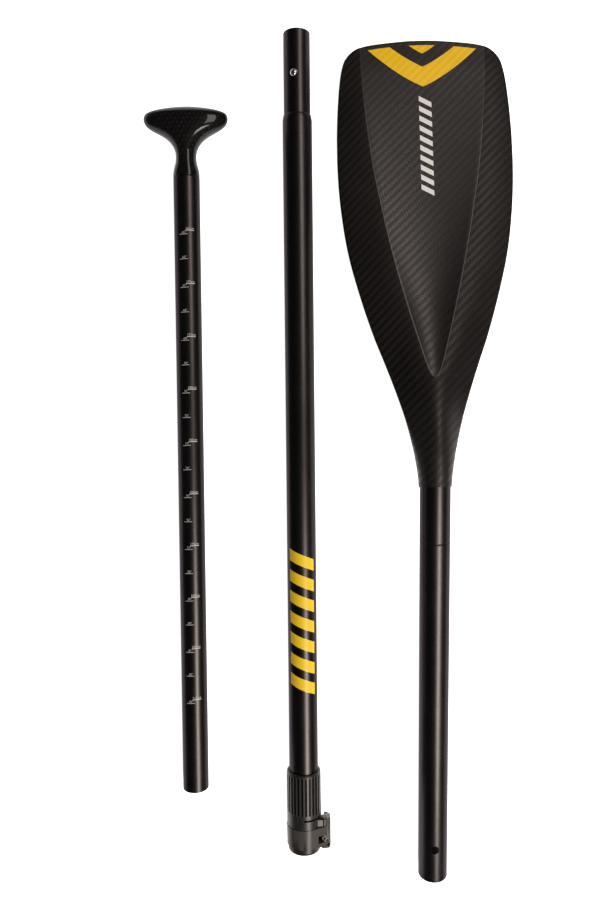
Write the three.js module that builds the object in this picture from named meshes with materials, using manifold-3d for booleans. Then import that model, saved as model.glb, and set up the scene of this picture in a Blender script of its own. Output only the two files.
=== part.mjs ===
// Three-piece adjustable stand-up paddle, taken apart and laid on a flat surface.
// Units are millimetres, +Z is up and +Y runs along the sections towards the blade's tip.
// Every section has a group of its own, whose local +Y axis is the section's tube axis.
import * as THREE from "three";
import { mergeVertices } from "three/addons/utils/BufferGeometryUtils.js";
import Module from "manifold-3d";

const wasm = await Module();
wasm.setup();

// ---------------------------------------------------------------- driving dimensions
const GAP = 0.3; // between pieces that touch
const ROUND = 28; // facets round a tube
const CENTRE = [29.741, -73.976]; // middle of the laid-out set, moved to the origin

// middle section
const MID_R = 14.1; // outer radius of the middle tube
const MID_BORE = 12.95;
const MID_LENGTH = 788.8; // clamp mouth to spigot end
const MID_SHOULDER = 710.7; // where the spigot leaves the tube
const MID_TUBE_START = 30; // the tube ends inside the collar
const SPIGOT_R = 12.7;
const SPIGOT_BORE = 11.2;
const SPIGOT_START = 602;
const BUTTON_AT = 746.7; // along the section
const BUTTON_TURN = 12; // degrees left of straight up
const BUTTON_R = 3.6;
const BUTTON_HOLE_R = 3.9;
const BUTTON_TOP = 16.4; // from the tube axis to the button's crown

// clamp, measured from the mouth
const COLLAR_R = 16.6;
const COLLAR_TOP = 78.4;
const COLLAR_GRIP_BORE = 12.9; // the split part that closes on the handle shaft
const LIP_R = 15.9;
const BAND_LOW = 6.2;
const BAND_HIGH = 25.0;
const BAND_R = 17.0;
const BAND_BORE = 15.3;
const SLIT_LOW = 33.5;
const SLIT_HIGH = 35.3;
const RIB_COUNT = 28;
const GROOVE_WIDTH = 2.1;
const GROOVE_DEPTH = 0.95;
const GROOVE_LOW = 39;
const GROOVE_HIGH = 76.2;
const PIN = [19.2, 5.6]; // lever pin, right of and above the tube axis
const PIN_R = 1.75;
const BARREL_R = 3.3;
const NOSE_R = 3.45;
const SCREW_AT = 13.45; // along the section
const SCREW_R = 1.5;
const SCREW_HEAD_R = 2.4;
const LEVER_IN = 23.75; // the lever's web, by radius from the tube axis
const LEVER_OUT = 25.9;
const LEVER_SWEEP = 0.62; // radians below the horizontal
const LEVER_END = 34.0;

// handle section
const HANDLE_R = 12.55;
const HANDLE_BORE = 11.05;
const HANDLE_LENGTH = 593.7; // free end to the grip's seam
const GRIP_TENON = 40;
const PLUG_R = 10.7;

// blade section
const BLADE_TUBE_R = 14.1;
const SOCKET_BORE = 13.0;
const SHAFT_SEAM = 339; // shaft to neck tube
const NECK_END = 389.9; // where the blade starts
const HOLE_AT = 34.6;
const HOLE_R = 4.05;
const SHAFT_RISE = 5.8; // degrees, resting attitude
const BLADE_FALL = 6.99; // degrees
const SKIN = 0.9;
const CORE_GAP = 0.8; // glue line between the core and each skin

// resting attitude of the middle and handle sections
const MID_TILT = (Math.asin((BAND_R - MID_R) / 694) * 180) / Math.PI;
const GRIP_HALF_DEPTH = 15.8;
const HANDLE_TILT = (Math.asin((GRIP_HALF_DEPTH - HANDLE_R) / 645.5) * 180) / Math.PI;

// ---------------------------------------------------------------- helpers
const deg = (d) => (d * Math.PI) / 180;
const smooth = (a, b, x) => {
  const t = Math.min(1, Math.max(0, (x - a) / (b - a)));
  return t * t * (3 - 2 * t);
};
const mix = (a, b, t) => a + (b - a) * t;

// Monotone cubic through a table of [x, value] rows.
function curve(table) {
  const n = table.length;
  const x = table.map((p) => p[0]);
  const y = table.map((p) => p[1]);
  const d = [];
  for (let i = 0; i < n - 1; i++) d.push((y[i + 1] - y[i]) / (x[i + 1] - x[i]));
  const m = [d[0]];
  for (let i = 1; i < n - 1; i++) {
    if (d[i - 1] * d[i] <= 0) m.push(0);
    else {
      const a = x[i] - x[i - 1];
      const b = x[i + 1] - x[i];
      m.push((3 * (a + b)) / ((2 * b + a) / d[i - 1] + (b + 2 * a) / d[i]));
    }
  }
  m.push(d[n - 2]);
  return (v) => {
    if (v <= x[0]) return y[0];
    if (v >= x[n - 1]) return y[n - 1];
    let i = 0;
    while (v > x[i + 1]) i++;
    const h = x[i + 1] - x[i];
    const t = (v - x[i]) / h;
    const t2 = t * t;
    const t3 = t2 * t;
    return (
      (2 * t3 - 3 * t2 + 1) * y[i] +
      (t3 - 2 * t2 + t) * h * m[i] +
      (-2 * t3 + 3 * t2) * y[i + 1] +
      (t3 - t2) * h * m[i + 1]
    );
  };
}

// A three.js geometry as a solid, for cutting and joining.
function solid(geometry) {
  const g = geometry.clone();
  for (const name of Object.keys(g.attributes)) if (name !== "position") g.deleteAttribute(name);
  const merged = mergeVertices(g, 1e-4);
  const index = merged.index.array;
  const position = merged.attributes.position.array;
  const triangles = [];
  for (let i = 0; i < index.length; i += 3) {
    const [a, b, c] = [index[i], index[i + 1], index[i + 2]];
    if (a !== b && b !== c && a !== c) triangles.push(a, b, c);
  }
  const made = new wasm.Manifold(
    new wasm.Mesh({
      numProp: 3,
      vertProperties: new Float32Array(position),
      triVerts: new Uint32Array(triangles),
    }),
  );
  if (made.volume() > 0) return made;
  for (let i = 0; i < triangles.length; i += 3)
    [triangles[i + 1], triangles[i + 2]] = [triangles[i + 2], triangles[i + 1]];
  return new wasm.Manifold(
    new wasm.Mesh({
      numProp: 3,
      vertProperties: new Float32Array(position),
      triVerts: new Uint32Array(triangles),
    }),
  );
}

function geometryOf(made) {
  const m = made.getMesh();
  const g = new THREE.BufferGeometry();
  const position = new Float32Array((m.vertProperties.length / m.numProp) * 3);
  for (let i = 0; i < position.length / 3; i++)
    for (let k = 0; k < 3; k++) position[3 * i + k] = m.vertProperties[m.numProp * i + k];
  g.setAttribute("position", new THREE.BufferAttribute(position, 3));
  g.setIndex(new THREE.BufferAttribute(new Uint32Array(m.triVerts), 1));
  g.computeVertexNormals();
  return g;
}

// A turned solid about local Y from a closed [radius, along] profile.
function turned(profile, segments = ROUND) {
  const points = profile.map(([r, y]) => new THREE.Vector2(r, y));
  if (profile[0][0] > 1e-6) points.push(points[0].clone());
  return new THREE.LatheGeometry(points, segments);
}
const rod = (r, y0, y1, segments = 24) =>
  solid(turned([[0, y0], [r, y0], [r, y1], [0, y1]], segments));

// A solid rod along local Z, at x and y.
function uprightRod(r, x, y, z0, z1, segments = 20) {
  const g = new THREE.CylinderGeometry(r, r, z1 - z0, segments);
  g.rotateX(Math.PI / 2);
  g.translate(x, y, (z0 + z1) / 2);
  return solid(g);
}
function block(x0, x1, y0, y1, z0, z1) {
  const g = new THREE.BoxGeometry(x1 - x0, y1 - y0, z1 - z0);
  g.translate((x0 + x1) / 2, (y0 + y1) / 2, (z0 + z1) / 2);
  return solid(g);
}
// An outline in the local X-Z plane, drawn out along local Y.
function drawn(outline, y0, y1, curveSegments = 6) {
  const g = new THREE.ExtrudeGeometry(outline, {
    depth: y1 - y0,
    bevelEnabled: false,
    curveSegments,
  });
  g.rotateX(Math.PI / 2); // (x, y, depth) becomes (x, -depth, y)
  g.translate(0, y1, 0);
  return solid(g);
}

// Joins rings of points (each a closed loop of the same count) into a closed solid.
function lofted(rings, startPoint, endPoint) {
  const n = rings[0].length;
  const position = [];
  for (const ring of rings) for (const p of ring) position.push(...p);
  const triangles = [];
  for (let i = 0; i < rings.length - 1; i++)
    for (let j = 0; j < n; j++) {
      const a = i * n + j;
      const b = i * n + ((j + 1) % n);
      triangles.push(a, b, a + n, b, b + n, a + n);
    }
  const cap = (ring, point, flip) => {
    const c = position.length / 3;
    position.push(...point);
    for (let j = 0; j < n; j++) {
      const a = ring * n + j;
      const b = ring * n + ((j + 1) % n);
      if (flip) triangles.push(c, a, b);
      else triangles.push(c, b, a);
    }
  };
  cap(0, startPoint, false);
  cap(rings.length - 1, endPoint, true);
  const g = new THREE.BufferGeometry();
  g.setAttribute("position", new THREE.Float32BufferAttribute(position, 3));
  g.setIndex(triangles);
  return g;
}

// Joins an upper and a lower grid of the same size along their borders into a closed solid.
function plated(upper, lower) {
  const rows = upper.length;
  const cols = upper[0].length;
  const position = [];
  for (const grid of [upper, lower]) for (const row of grid) for (const p of row) position.push(...p);
  const at = (layer, i, j) => layer * rows * cols + i * cols + j;
  const triangles = [];
  for (let i = 0; i < rows - 1; i++)
    for (let j = 0; j < cols - 1; j++) {
      triangles.push(at(0, i, j), at(0, i, j + 1), at(0, i + 1, j));
      triangles.push(at(0, i, j + 1), at(0, i + 1, j + 1), at(0, i + 1, j));
      triangles.push(at(1, i, j), at(1, i + 1, j), at(1, i, j + 1));
      triangles.push(at(1, i, j + 1), at(1, i + 1, j), at(1, i + 1, j + 1));
    }
  const border = [];
  for (let j = 0; j < cols; j++) border.push([0, j]);
  for (let i = 1; i < rows; i++) border.push([i, cols - 1]);
  for (let j = cols - 2; j >= 0; j--) border.push([rows - 1, j]);
  for (let i = rows - 2; i >= 1; i--) border.push([i, 0]);
  for (let k = 0; k < border.length; k++) {
    const [i, j] = border[k];
    const [m, n] = border[(k + 1) % border.length];
    triangles.push(at(0, i, j), at(1, i, j), at(0, m, n));
    triangles.push(at(0, m, n), at(1, i, j), at(1, m, n));
  }
  const g = new THREE.BufferGeometry();
  g.setAttribute("position", new THREE.Float32BufferAttribute(position, 3));
  g.setIndex(triangles);
  return g;
}

const FINISH = {
  tube: { color: 0x141314, roughness: 0.42, metalness: 0.1 },
  plastic: { color: 0x1b1a1a, roughness: 0.55, metalness: 0.0 },
  grip: { color: 0x0b0b0c, roughness: 0.12, metalness: 0.0 },
  steel: { color: 0xa9a8a6, roughness: 0.3, metalness: 1.0 },
  laminate: { color: 0x1f1c1a, roughness: 0.45, metalness: 0.0 },
  foam: { color: 0xd8d2c4, roughness: 0.9, metalness: 0.0 },
  rubber: { color: 0x222222, roughness: 0.8, metalness: 0.0 },
};
function piece(name, shape, finish) {
  const geometry = shape.isBufferGeometry ? shape : geometryOf(shape);
  const mesh = new THREE.Mesh(geometry, new THREE.MeshStandardMaterial(FINISH[finish]));
  mesh.name = name;
  return mesh;
}

// ---------------------------------------------------------------- sections' frames
const set = new THREE.Group();
set.position.set(-CENTRE[0], -CENTRE[1], 0);

// The band and the tube's shoulder end rest on the surface.
const middle = new THREE.Group();
{
  const t = deg(MID_TILT);
  middle.position.set(0.2, -453.2, BAND_R * Math.cos(t) + BAND_HIGH * Math.sin(t));
  middle.rotation.x = -t;
}
const handle = new THREE.Group();
{
  const t = deg(HANDLE_TILT);
  handle.position.set(-106.2, -394.2, HANDLE_R * Math.cos(t) + 0.02);
  handle.rotation.x = t;
}
const YAW = 0.38; // degrees, the blade section lies slightly across
const bladeSection = new THREE.Group();
bladeSection.position.set(126.4, -482.2, BLADE_TUBE_R * Math.cos(deg(SHAFT_RISE)));
bladeSection.rotation.order = "ZXY";
bladeSection.rotation.z = deg(YAW);
bladeSection.rotation.x = deg(SHAFT_RISE);
set.add(middle, handle, bladeSection);

// ---------------------------------------------------------------- middle section
middle.add(
  piece(
    "middle_shaft",
    turned([
      [MID_BORE, MID_TUBE_START],
      [MID_R, MID_TUBE_START],
      [MID_R, MID_SHOULDER - 5],
      [13.25, MID_SHOULDER],
      [MID_BORE, MID_SHOULDER],
    ]),
    "tube",
  ),
);

const buttonOut = new THREE.Vector3(-Math.sin(deg(BUTTON_TURN)), 0, Math.cos(deg(BUTTON_TURN)));
// Turns a solid built with the button pointing up (+Z) to the button's own direction.
const towardsButton = (made) => made.rotate([0, -BUTTON_TURN, 0]);

const buttonHole = towardsButton(uprightRod(BUTTON_HOLE_R, 0, BUTTON_AT, 2, 20, 16));
middle.add(
  piece(
    "spigot_sleeve",
    solid(
      turned([
        [SPIGOT_BORE, SPIGOT_START],
        [SPIGOT_R, SPIGOT_START],
        [SPIGOT_R, MID_LENGTH - 0.8],
        [SPIGOT_R - 0.7, MID_LENGTH],
        [SPIGOT_BORE, MID_LENGTH],
      ]),
    ).subtract(buttonHole),
    "tube",
  ),
);

// Snap button: a domed steel pin with a wider foot inside the sleeve.
const buttonProfile = [
  [0, 8.0],
  [4.6, 8.0],
  [4.6, 9.0],
  [BUTTON_R, 9.2],
  [BUTTON_R, 13.6],
  [3.25, 14.9],
  [2.3, 15.85],
  [1.1, 16.3],
  [0, BUTTON_TOP],
];
const snapButton = solid(turned(buttonProfile, 16).rotateX(Math.PI / 2).translate(0, BUTTON_AT, 0));
middle.add(piece("snap_button", towardsButton(snapButton), "steel"));

// Leaf spring folded into a V: one leg under the button's foot, one against the bore.
{
  const t = 0.7;
  const outer = new THREE.Shape();
  const a = BUTTON_AT + 7;
  const b = BUTTON_AT - 44;
  outer.moveTo(a, 7.6);
  outer.lineTo(b + 4, -6.2);
  outer.bezierCurveTo(b, -7.4, b, -10.4, b + 4, -10.5);
  outer.lineTo(a + 4, -10.5);
  outer.lineTo(a + 4, -10.5 + t);
  outer.lineTo(b + 4, -10.5 + t);
  outer.bezierCurveTo(b + 1.0, -9.7, b + 1.0, -7.6, b + 4.2, -6.95);
  outer.lineTo(a, 7.6 - t);
  const g = new THREE.ExtrudeGeometry(outer, { depth: 5, bevelEnabled: false, curveSegments: 6 });
  g.translate(0, 0, -2.5);
  // outline (along, up) to local (width X, along Y, up Z)
  g.applyMatrix4(new THREE.Matrix4().set(0, 0, 1, 0, 1, 0, 0, 0, 0, 1, 0, 0, 0, 0, 0, 1));
  middle.add(piece("button_spring", towardsButton(solid(g)), "steel"));
}

// ---------------------------------------------------------------- clamp
// Rounded nose round the lever pin, running back to the collar: outline in X-Z.
function noseOutline(low, backTop, backX) {
  const [px, pz] = PIN;
  const s = new THREE.Shape();
  s.moveTo(backX, low);
  s.lineTo(px + Math.sqrt(Math.max(0, NOSE_R ** 2 - (pz - low) ** 2)), low);
  const from = Math.atan2(low - pz, Math.sqrt(Math.max(0, NOSE_R ** 2 - (pz - low) ** 2)));
  s.absarc(px, pz, NOSE_R, from, Math.PI / 2 + 0.35, false);
  s.lineTo(backX + 1.5, backTop);
  s.lineTo(backX, backTop - 1.0);
  s.closePath();
  return s;
}
// The same nose, whose flat back runs on tangent to a ring of radius r.
function tangentNose(low, backX, r) {
  const [px, pz] = PIN;
  const d = Math.hypot(px, pz);
  const normal = Math.atan2(pz, px) + Math.acos((r - NOSE_R) / d);
  const reach = Math.sqrt(Math.max(0, NOSE_R ** 2 - (pz - low) ** 2));
  const s = new THREE.Shape();
  s.moveTo(backX, low);
  s.lineTo(px + reach, low);
  s.absarc(px, pz, NOSE_R, Math.atan2(low - pz, reach), normal, false);
  s.lineTo(r * Math.cos(normal), r * Math.sin(normal));
  s.lineTo((r - 2.6) * Math.cos(normal + 0.03), (r - 2.6) * Math.sin(normal + 0.03));
  s.closePath();
  return s;
}

// Collar: a ribbed sleeve glued over the tube, whose lower part is split and slit so that it can close.
let collar = solid(
  turned(
    [
      [COLLAR_GRIP_BORE, 0.6],
      [13.5, 0],
      [14.9, 0],
      [15.6, 0.9],
      [LIP_R, 2.4],
      [LIP_R, BAND_LOW - 0.3],
      [BAND_BORE - GAP, BAND_LOW - 0.3],
      [BAND_BORE - GAP, BAND_HIGH + 0.3],
      [COLLAR_R, BAND_HIGH + 0.3],
      [COLLAR_R, COLLAR_TOP - 2.2],
      [COLLAR_R - 0.35, COLLAR_TOP - 0.8],
      [COLLAR_R - 1.1, COLLAR_TOP],
      [MID_R + GAP, COLLAR_TOP],
      [MID_R + GAP, MID_TUBE_START - GAP],
      [COLLAR_GRIP_BORE, MID_TUBE_START - GAP],
    ],
    42,
  ),
);
// The pin's upper bearing lug, on the split part.
const lug = drawn(noseOutline(2.05, 10.2, 11.5), BAND_HIGH + 0.5, SLIT_LOW - 1.6);
collar = collar.add(lug.subtract(rod(15.8, BAND_HIGH, SLIT_LOW, 42)));
// Round bottomed grooves.
for (let k = 0; k < RIB_COUNT; k++) {
  const s = new THREE.Shape();
  const w = GROOVE_WIDTH / 2;
  s.moveTo(-w, GROOVE_LOW + w);
  s.absarc(0, GROOVE_LOW + w, w, Math.PI, 2 * Math.PI, false);
  s.lineTo(w, GROOVE_HIGH - w);
  s.absarc(0, GROOVE_HIGH - w, w, 0, Math.PI, false);
  const g = new THREE.ExtrudeGeometry(s, { depth: 3, bevelEnabled: false, curveSegments: 2 });
  g.translate(0, 0, COLLAR_R - GROOVE_DEPTH);
  g.rotateY((2 * Math.PI * (k + 0.5)) / RIB_COUNT);
  collar = collar.subtract(solid(g));
}
// Split through the grip part on the right, and the relief slit running from it over the top.
collar = collar.subtract(block(8, 30, -1, SLIT_LOW + 0.5, -0.95, 0.75));
{
  const s = new THREE.Shape();
  s.absarc(0, 0, 22, deg(-28), deg(91), false);
  s.absarc(0, 0, 10, deg(91), deg(-28), true);
  collar = collar.subtract(drawn(s, SLIT_LOW, SLIT_HIGH, 12));
}
collar = collar.subtract(rod(PIN_R + GAP, BAND_HIGH, SLIT_HIGH + 1, 14).translate([PIN[0], 0, PIN[1]]));
middle.add(piece("clamp_collar", collar, "plastic"));

// Band: an open ring with a knuckle round the pin at one end and an ear at the other.
let band = solid(
  turned(
    [
      [BAND_BORE, BAND_LOW],
      [BAND_R - 0.3, BAND_LOW],
      [BAND_R, BAND_LOW + 0.3],
      [BAND_R, BAND_HIGH - 0.3],
      [BAND_R - 0.3, BAND_HIGH],
      [BAND_BORE, BAND_HIGH],
    ],
    42,
  ),
);
const knuckle = drawn(tangentNose(1.9, 12.2, BAND_R), BAND_LOW, BAND_HIGH);
const ear = (() => {
  const s = new THREE.Shape();
  s.moveTo(12.5, -1.75);
  s.lineTo(20.9, -1.75);
  s.quadraticCurveTo(21.7, -1.75, 21.7, -2.6);
  s.lineTo(21.7, -5.6);
  s.quadraticCurveTo(21.7, -6.6, 20.7, -6.6);
  s.lineTo(15.6, -6.9);
  s.lineTo(12.5, -9.5);
  return drawn(s, BAND_LOW, BAND_HIGH);
})();
const ringBore = rod(BAND_BORE, BAND_LOW - 1, BAND_HIGH + 1, 42);
band = band.subtract(block(8, 26, BAND_LOW - 1, BAND_HIGH + 1, -1.75, 1.9));
band = band.add(knuckle.add(ear).subtract(ringBore));
// window for the barrel and the screw, pin bore, screw hole and nut pocket
band = band.subtract(block(PIN[0] - 5.6, 24, SCREW_AT - 3.55, SCREW_AT + 3.55, 1.0, 14));
band = band.subtract(rod(PIN_R + GAP, BAND_LOW - 1, BAND_HIGH + 1, 14).translate([PIN[0], 0, PIN[1]]));
band = band.subtract(uprightRod(SCREW_R + GAP, PIN[0], SCREW_AT, -10, 3, 12));
band = band.subtract(block(PIN[0] - 3.05, 24, SCREW_AT - 3.05, SCREW_AT + 3.05, -5.55, -3.0));
middle.add(piece("clamp_band", band, "plastic"));

// Lever pin with the barrel that carries the screw's head.
let pin = solid(
  turned(
    [
      [0, 3.9],
      [PIN_R - 0.3, 3.9],
      [PIN_R, 4.2],
      [PIN_R, SCREW_AT - 3.2],
      [BARREL_R, SCREW_AT - 3.2],
      [BARREL_R, SCREW_AT + 3.2],
      [PIN_R, SCREW_AT + 3.2],
      [PIN_R, 32.6],
      [PIN_R - 0.3, 32.9],
      [0, 32.9],
    ],
    16,
  ),
).translate([PIN[0], 0, PIN[1]]);
pin = pin.subtract(uprightRod(SCREW_R + GAP, PIN[0], SCREW_AT, PIN[1] - 5, PIN[1] + 5, 12));
pin = pin.subtract(uprightRod(SCREW_HEAD_R + GAP, PIN[0], SCREW_AT, PIN[1] + 0.2, PIN[1] + 6, 14));
middle.add(piece("lever_pin", pin, "steel"));

// Socket-head screw, its head sunk in the barrel, its tip in the nut.
{
  let screw = uprightRod(SCREW_HEAD_R, PIN[0], SCREW_AT, PIN[1] + 0.5, PIN[1] + 3.2, 14).add(
    uprightRod(SCREW_R, PIN[0], SCREW_AT, -8.4, PIN[1] + 0.7, 12),
  );
  const socket = new THREE.CylinderGeometry(1.25, 1.25, 1.6, 6);
  socket.rotateX(Math.PI / 2);
  socket.translate(PIN[0], SCREW_AT, PIN[1] + 2.6);
  screw = screw.subtract(solid(socket));
  middle.add(piece("tension_screw", screw, "steel"));
}
middle.add(
  piece(
    "tension_nut",
    block(PIN[0] - 2.75, PIN[0] + 2.75, SCREW_AT - 2.75, SCREW_AT + 2.75, -5.25, -3.3).subtract(
      uprightRod(SCREW_R + GAP, PIN[0], SCREW_AT, -8, 0, 12),
    ),
    "steel",
  ),
);

// Cam lever: a channel with a cheek at each end of the pin and a web that lies along the right side.
{
  const [px, pz] = PIN;
  // web concentric with the collar
  const webOutline = new THREE.Shape();
  const top = Math.asin((pz - 0.6) / LEVER_IN);
  webOutline.absarc(0, 0, LEVER_OUT, -LEVER_SWEEP, Math.asin((pz - 0.9) / LEVER_OUT), false);
  webOutline.lineTo(LEVER_IN * Math.cos(top), LEVER_IN * Math.sin(top));
  webOutline.absarc(0, 0, LEVER_IN, top, -LEVER_SWEEP + 0.03, true);
  const web = drawn(webOutline, 3.6, LEVER_END, 12);
  const cheekOutline = new THREE.Shape();
  cheekOutline.moveTo(px - 0.9, pz - 2.862);
  cheekOutline.lineTo(px + 4.1, pz - 9.5);
  cheekOutline.lineTo(px + 6.0, pz - 9.5);
  cheekOutline.lineTo(px + 6.15, pz - 1.0);
  cheekOutline.bezierCurveTo(px + 5.9, pz + 1.7, px + 4.0, pz + 3.0, px + 1.2, pz + 2.75);
  cheekOutline.absarc(px, pz, 3.0, Math.atan2(2.75, 1.2), Math.PI + 1.266, false);
  const cheeks = drawn(cheekOutline, 3.6, 5.8, 5).add(drawn(cheekOutline, 32.2, LEVER_END, 5));
  let lever = web.add(cheeks);
  lever = lever.subtract(rod(PIN_R + GAP, 0, 33.2, 14).translate([px, 0, pz]));
  // the far side tapers towards the tip
  {
    const s = new THREE.Shape();
    s.moveTo(LEVER_END + 0.05, pz - 2.4);
    s.lineTo(26.5, -17);
    s.lineTo(40, -17);
    s.lineTo(40, pz - 2.4);
    const g = new THREE.ExtrudeGeometry(s, { depth: 12, bevelEnabled: false });
    g.translate(0, 0, 17);
    // outline (along, up) to local (across X, along Y, up Z)
    g.applyMatrix4(new THREE.Matrix4().set(0, 0, 1, 0, 1, 0, 0, 0, 0, 1, 0, 0, 0, 0, 0, 1));
    lever = lever.subtract(solid(g));
  }
  // rounded corners, seen from above
  for (const [y, r, way] of [
    [LEVER_END, 5, 1],
    [3.6, 2, -1],
  ]) {
    const s = new THREE.Shape();
    s.moveTo(LEVER_OUT - r, y);
    s.absarc(LEVER_OUT - r, y - way * r, r, (way * Math.PI) / 2, 0, way > 0);
    s.lineTo(LEVER_OUT + 1, y - way * r);
    s.lineTo(LEVER_OUT + 1, y + way);
    s.lineTo(LEVER_OUT - r, y + way);
    s.closePath();
    const g = new THREE.ExtrudeGeometry(s, { depth: 32, bevelEnabled: false, curveSegments: 6 });
    g.translate(0, 0, -20);
    lever = lever.subtract(solid(g));
  }
  // two shallow thumb grooves across the web
  for (const a of [0.36, 0.49])
    lever = lever.subtract(
      block(LEVER_OUT - 0.5, LEVER_OUT + 2, 7.5, 23.5, -0.7, 0.7).rotate([0, (a * 180) / Math.PI, 0]),
    );
  middle.add(piece("cam_lever", lever, "plastic"));
}

// ---------------------------------------------------------------- handle section
handle.add(
  piece(
    "handle_shaft",
    turned([
      [HANDLE_BORE, 0],
      [HANDLE_R - 0.4, 0],
      [HANDLE_R, 0.4],
      [HANDLE_R, HANDLE_LENGTH],
      [HANDLE_BORE, HANDLE_LENGTH],
    ]),
    "tube",
  ),
);
handle.add(
  piece(
    "handle_end_plug",
    turned(
      [
        [0, 1.5],
        [PLUG_R - 0.6, 1.5],
        [PLUG_R, 2.1],
        [PLUG_R, 10.4],
        [PLUG_R - 1.2, 12],
        [0, 12],
      ],
      20,
    ),
    "rubber",
  ),
);

// Palm grip: side rail (half width, along) and front rail (half depth, along), from the tenon's foot to the crown.
{
  const base = HANDLE_LENGTH + GAP;
  const side = [
    [10.2, base - GRIP_TENON],
    [10.75, base - GRIP_TENON + 1.5],
    [10.75, base],
    [12.5, base],
    [12.45, base + 4.0],
    [11.6, base + 8.6],
    [10.35, base + 13.2],
    [9.75, base + 17.8],
    [9.95, base + 22.6],
    [11.1, base + 27.0],
    [13.4, base + 31.2],
    [16.6, base + 35.0],
    [21.2, base + 38.6],
    [27.4, base + 42.0],
    [33.4, base + 45.2],
    [37.6, base + 48.6],
    [39.8, base + 52.6],
    [40.0, base + 56.4],
    [38.2, base + 60.0],
    [33.0, base + 62.4],
    [24.0, base + 64.2],
    [12.0, base + 65.6],
  ];
  const front = [
    [10.2, base - GRIP_TENON],
    [10.75, base - GRIP_TENON + 1.5],
    [10.75, base],
    [12.5, base],
    [12.4, base + 4.0],
    [11.7, base + 8.6],
    [10.8, base + 13.2],
    [10.5, base + 17.8],
    [10.9, base + 22.6],
    [11.8, base + 27.0],
    [12.9, base + 31.2],
    [13.9, base + 35.0],
    [14.7, base + 38.8],
    [15.3, base + 42.6],
    [15.7, base + 46.2],
    [GRIP_HALF_DEPTH, base + 49.8],
    [15.6, base + 53.2],
    [14.8, base + 56.6],
    [13.2, base + 59.8],
    [10.6, base + 62.6],
    [7.2, base + 64.8],
    [3.6, base + 65.9],
  ];
  const n = 24;
  const rings = side.map(([a, ya], i) => {
    const [b, yb] = front[i];
    const ring = [];
    for (let j = 0; j < n; j++) {
      const p = (2 * Math.PI * j) / n;
      const c = Math.cos(p);
      const s = Math.sin(p);
      ring.push([a * c, ya * c * c + yb * s * s, b * s]);
    }
    return ring;
  });
  handle.add(
    piece(
      "palm_grip",
      solid(lofted(rings, [0, base - GRIP_TENON, 0], [0, base + 66.2, 0])),
      "grip",
    ),
  );
}

// ---------------------------------------------------------------- blade section, tubes
bladeSection.add(
  piece(
    "blade_shaft",
    solid(
      turned([
        [SOCKET_BORE, 0],
        [BLADE_TUBE_R - 0.3, 0],
        [BLADE_TUBE_R, 0.3],
        [BLADE_TUBE_R, SHAFT_SEAM - GAP / 2],
        [SOCKET_BORE, SHAFT_SEAM - GAP / 2],
      ]),
    ).subtract(uprightRod(HOLE_R, 0, HOLE_AT, 4, 20, 24)),
    "tube",
  ),
);
const TUBE_IN_BLADE = 29;
bladeSection.add(
  piece(
    "neck_tube",
    turned([
      [SOCKET_BORE, SHAFT_SEAM + GAP / 2],
      [BLADE_TUBE_R, SHAFT_SEAM + GAP / 2],
      [BLADE_TUBE_R, NECK_END + TUBE_IN_BLADE],
      [SOCKET_BORE, NECK_END + TUBE_IN_BLADE],
    ]),
    "tube",
  ),
);
bladeSection.add(
  piece(
    "neck_ferrule",
    turned([
      [11.3, SHAFT_SEAM - 45],
      [SOCKET_BORE - GAP, SHAFT_SEAM - 45],
      [SOCKET_BORE - GAP, SHAFT_SEAM + 45],
      [11.3, SHAFT_SEAM + 45],
    ]),
    "tube",
  ),
);
bladeSection.add(
  piece(
    "shaft_bung",
    turned(
      [
        [0, 130],
        [SOCKET_BORE - GAP - 1.2, 130],
        [SOCKET_BORE - GAP, 132],
        [SOCKET_BORE - GAP, 158],
        [SOCKET_BORE - GAP - 1.2, 160],
        [0, 160],
      ],
      20,
    ),
    "foam",
  ),
);

// ---------------------------------------------------------------- blade
// Blade coordinates: u across, v along from the neck's end, w up from the blade's own plane.
const bladeGroup = new THREE.Group();
bladeGroup.position.set(0, NECK_END, 0);
bladeGroup.rotation.x = -deg(SHAFT_RISE + BLADE_FALL);
bladeSection.add(bladeGroup);

// Half width by distance along, up to the middle of the corner.
const halfWidth = curve([
  [0, 15.1],
  [6.5, 15.5],
  [24.9, 18.0],
  [43.4, 21.8],
  [62, 26.4],
  [80.6, 32.1],
  [99.3, 38.4],
  [118.2, 45.2],
  [137.1, 52.2],
  [156.1, 58.4],
  [175.2, 64.1],
  [194.3, 69.3],
  [213.6, 74.0],
  [232.9, 77.6],
  [252.3, 80.2],
  [271.9, 82.2],
  [291.5, 83.4],
  [311.2, 83.9],
  [331, 83.8],
  [350.9, 83.1],
  [370.9, 81.8],
  [390.9, 79.8],
  [403, 77.6],
  [411, 75.0],
  [417.5, 70.5],
]);
const CORNER_V = 417.5;
const CORNER_U = 70.5;
// The tip's edge by distance from the centre line.
const tipEdge = curve([
  [0, 430.4],
  [12, 430.2],
  [23, 429.4],
  [30, 428.8],
  [41, 427.6],
  [52, 426.0],
  [58, 424.6],
  [64, 422.3],
  [CORNER_U, CORNER_V],
]);
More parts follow.
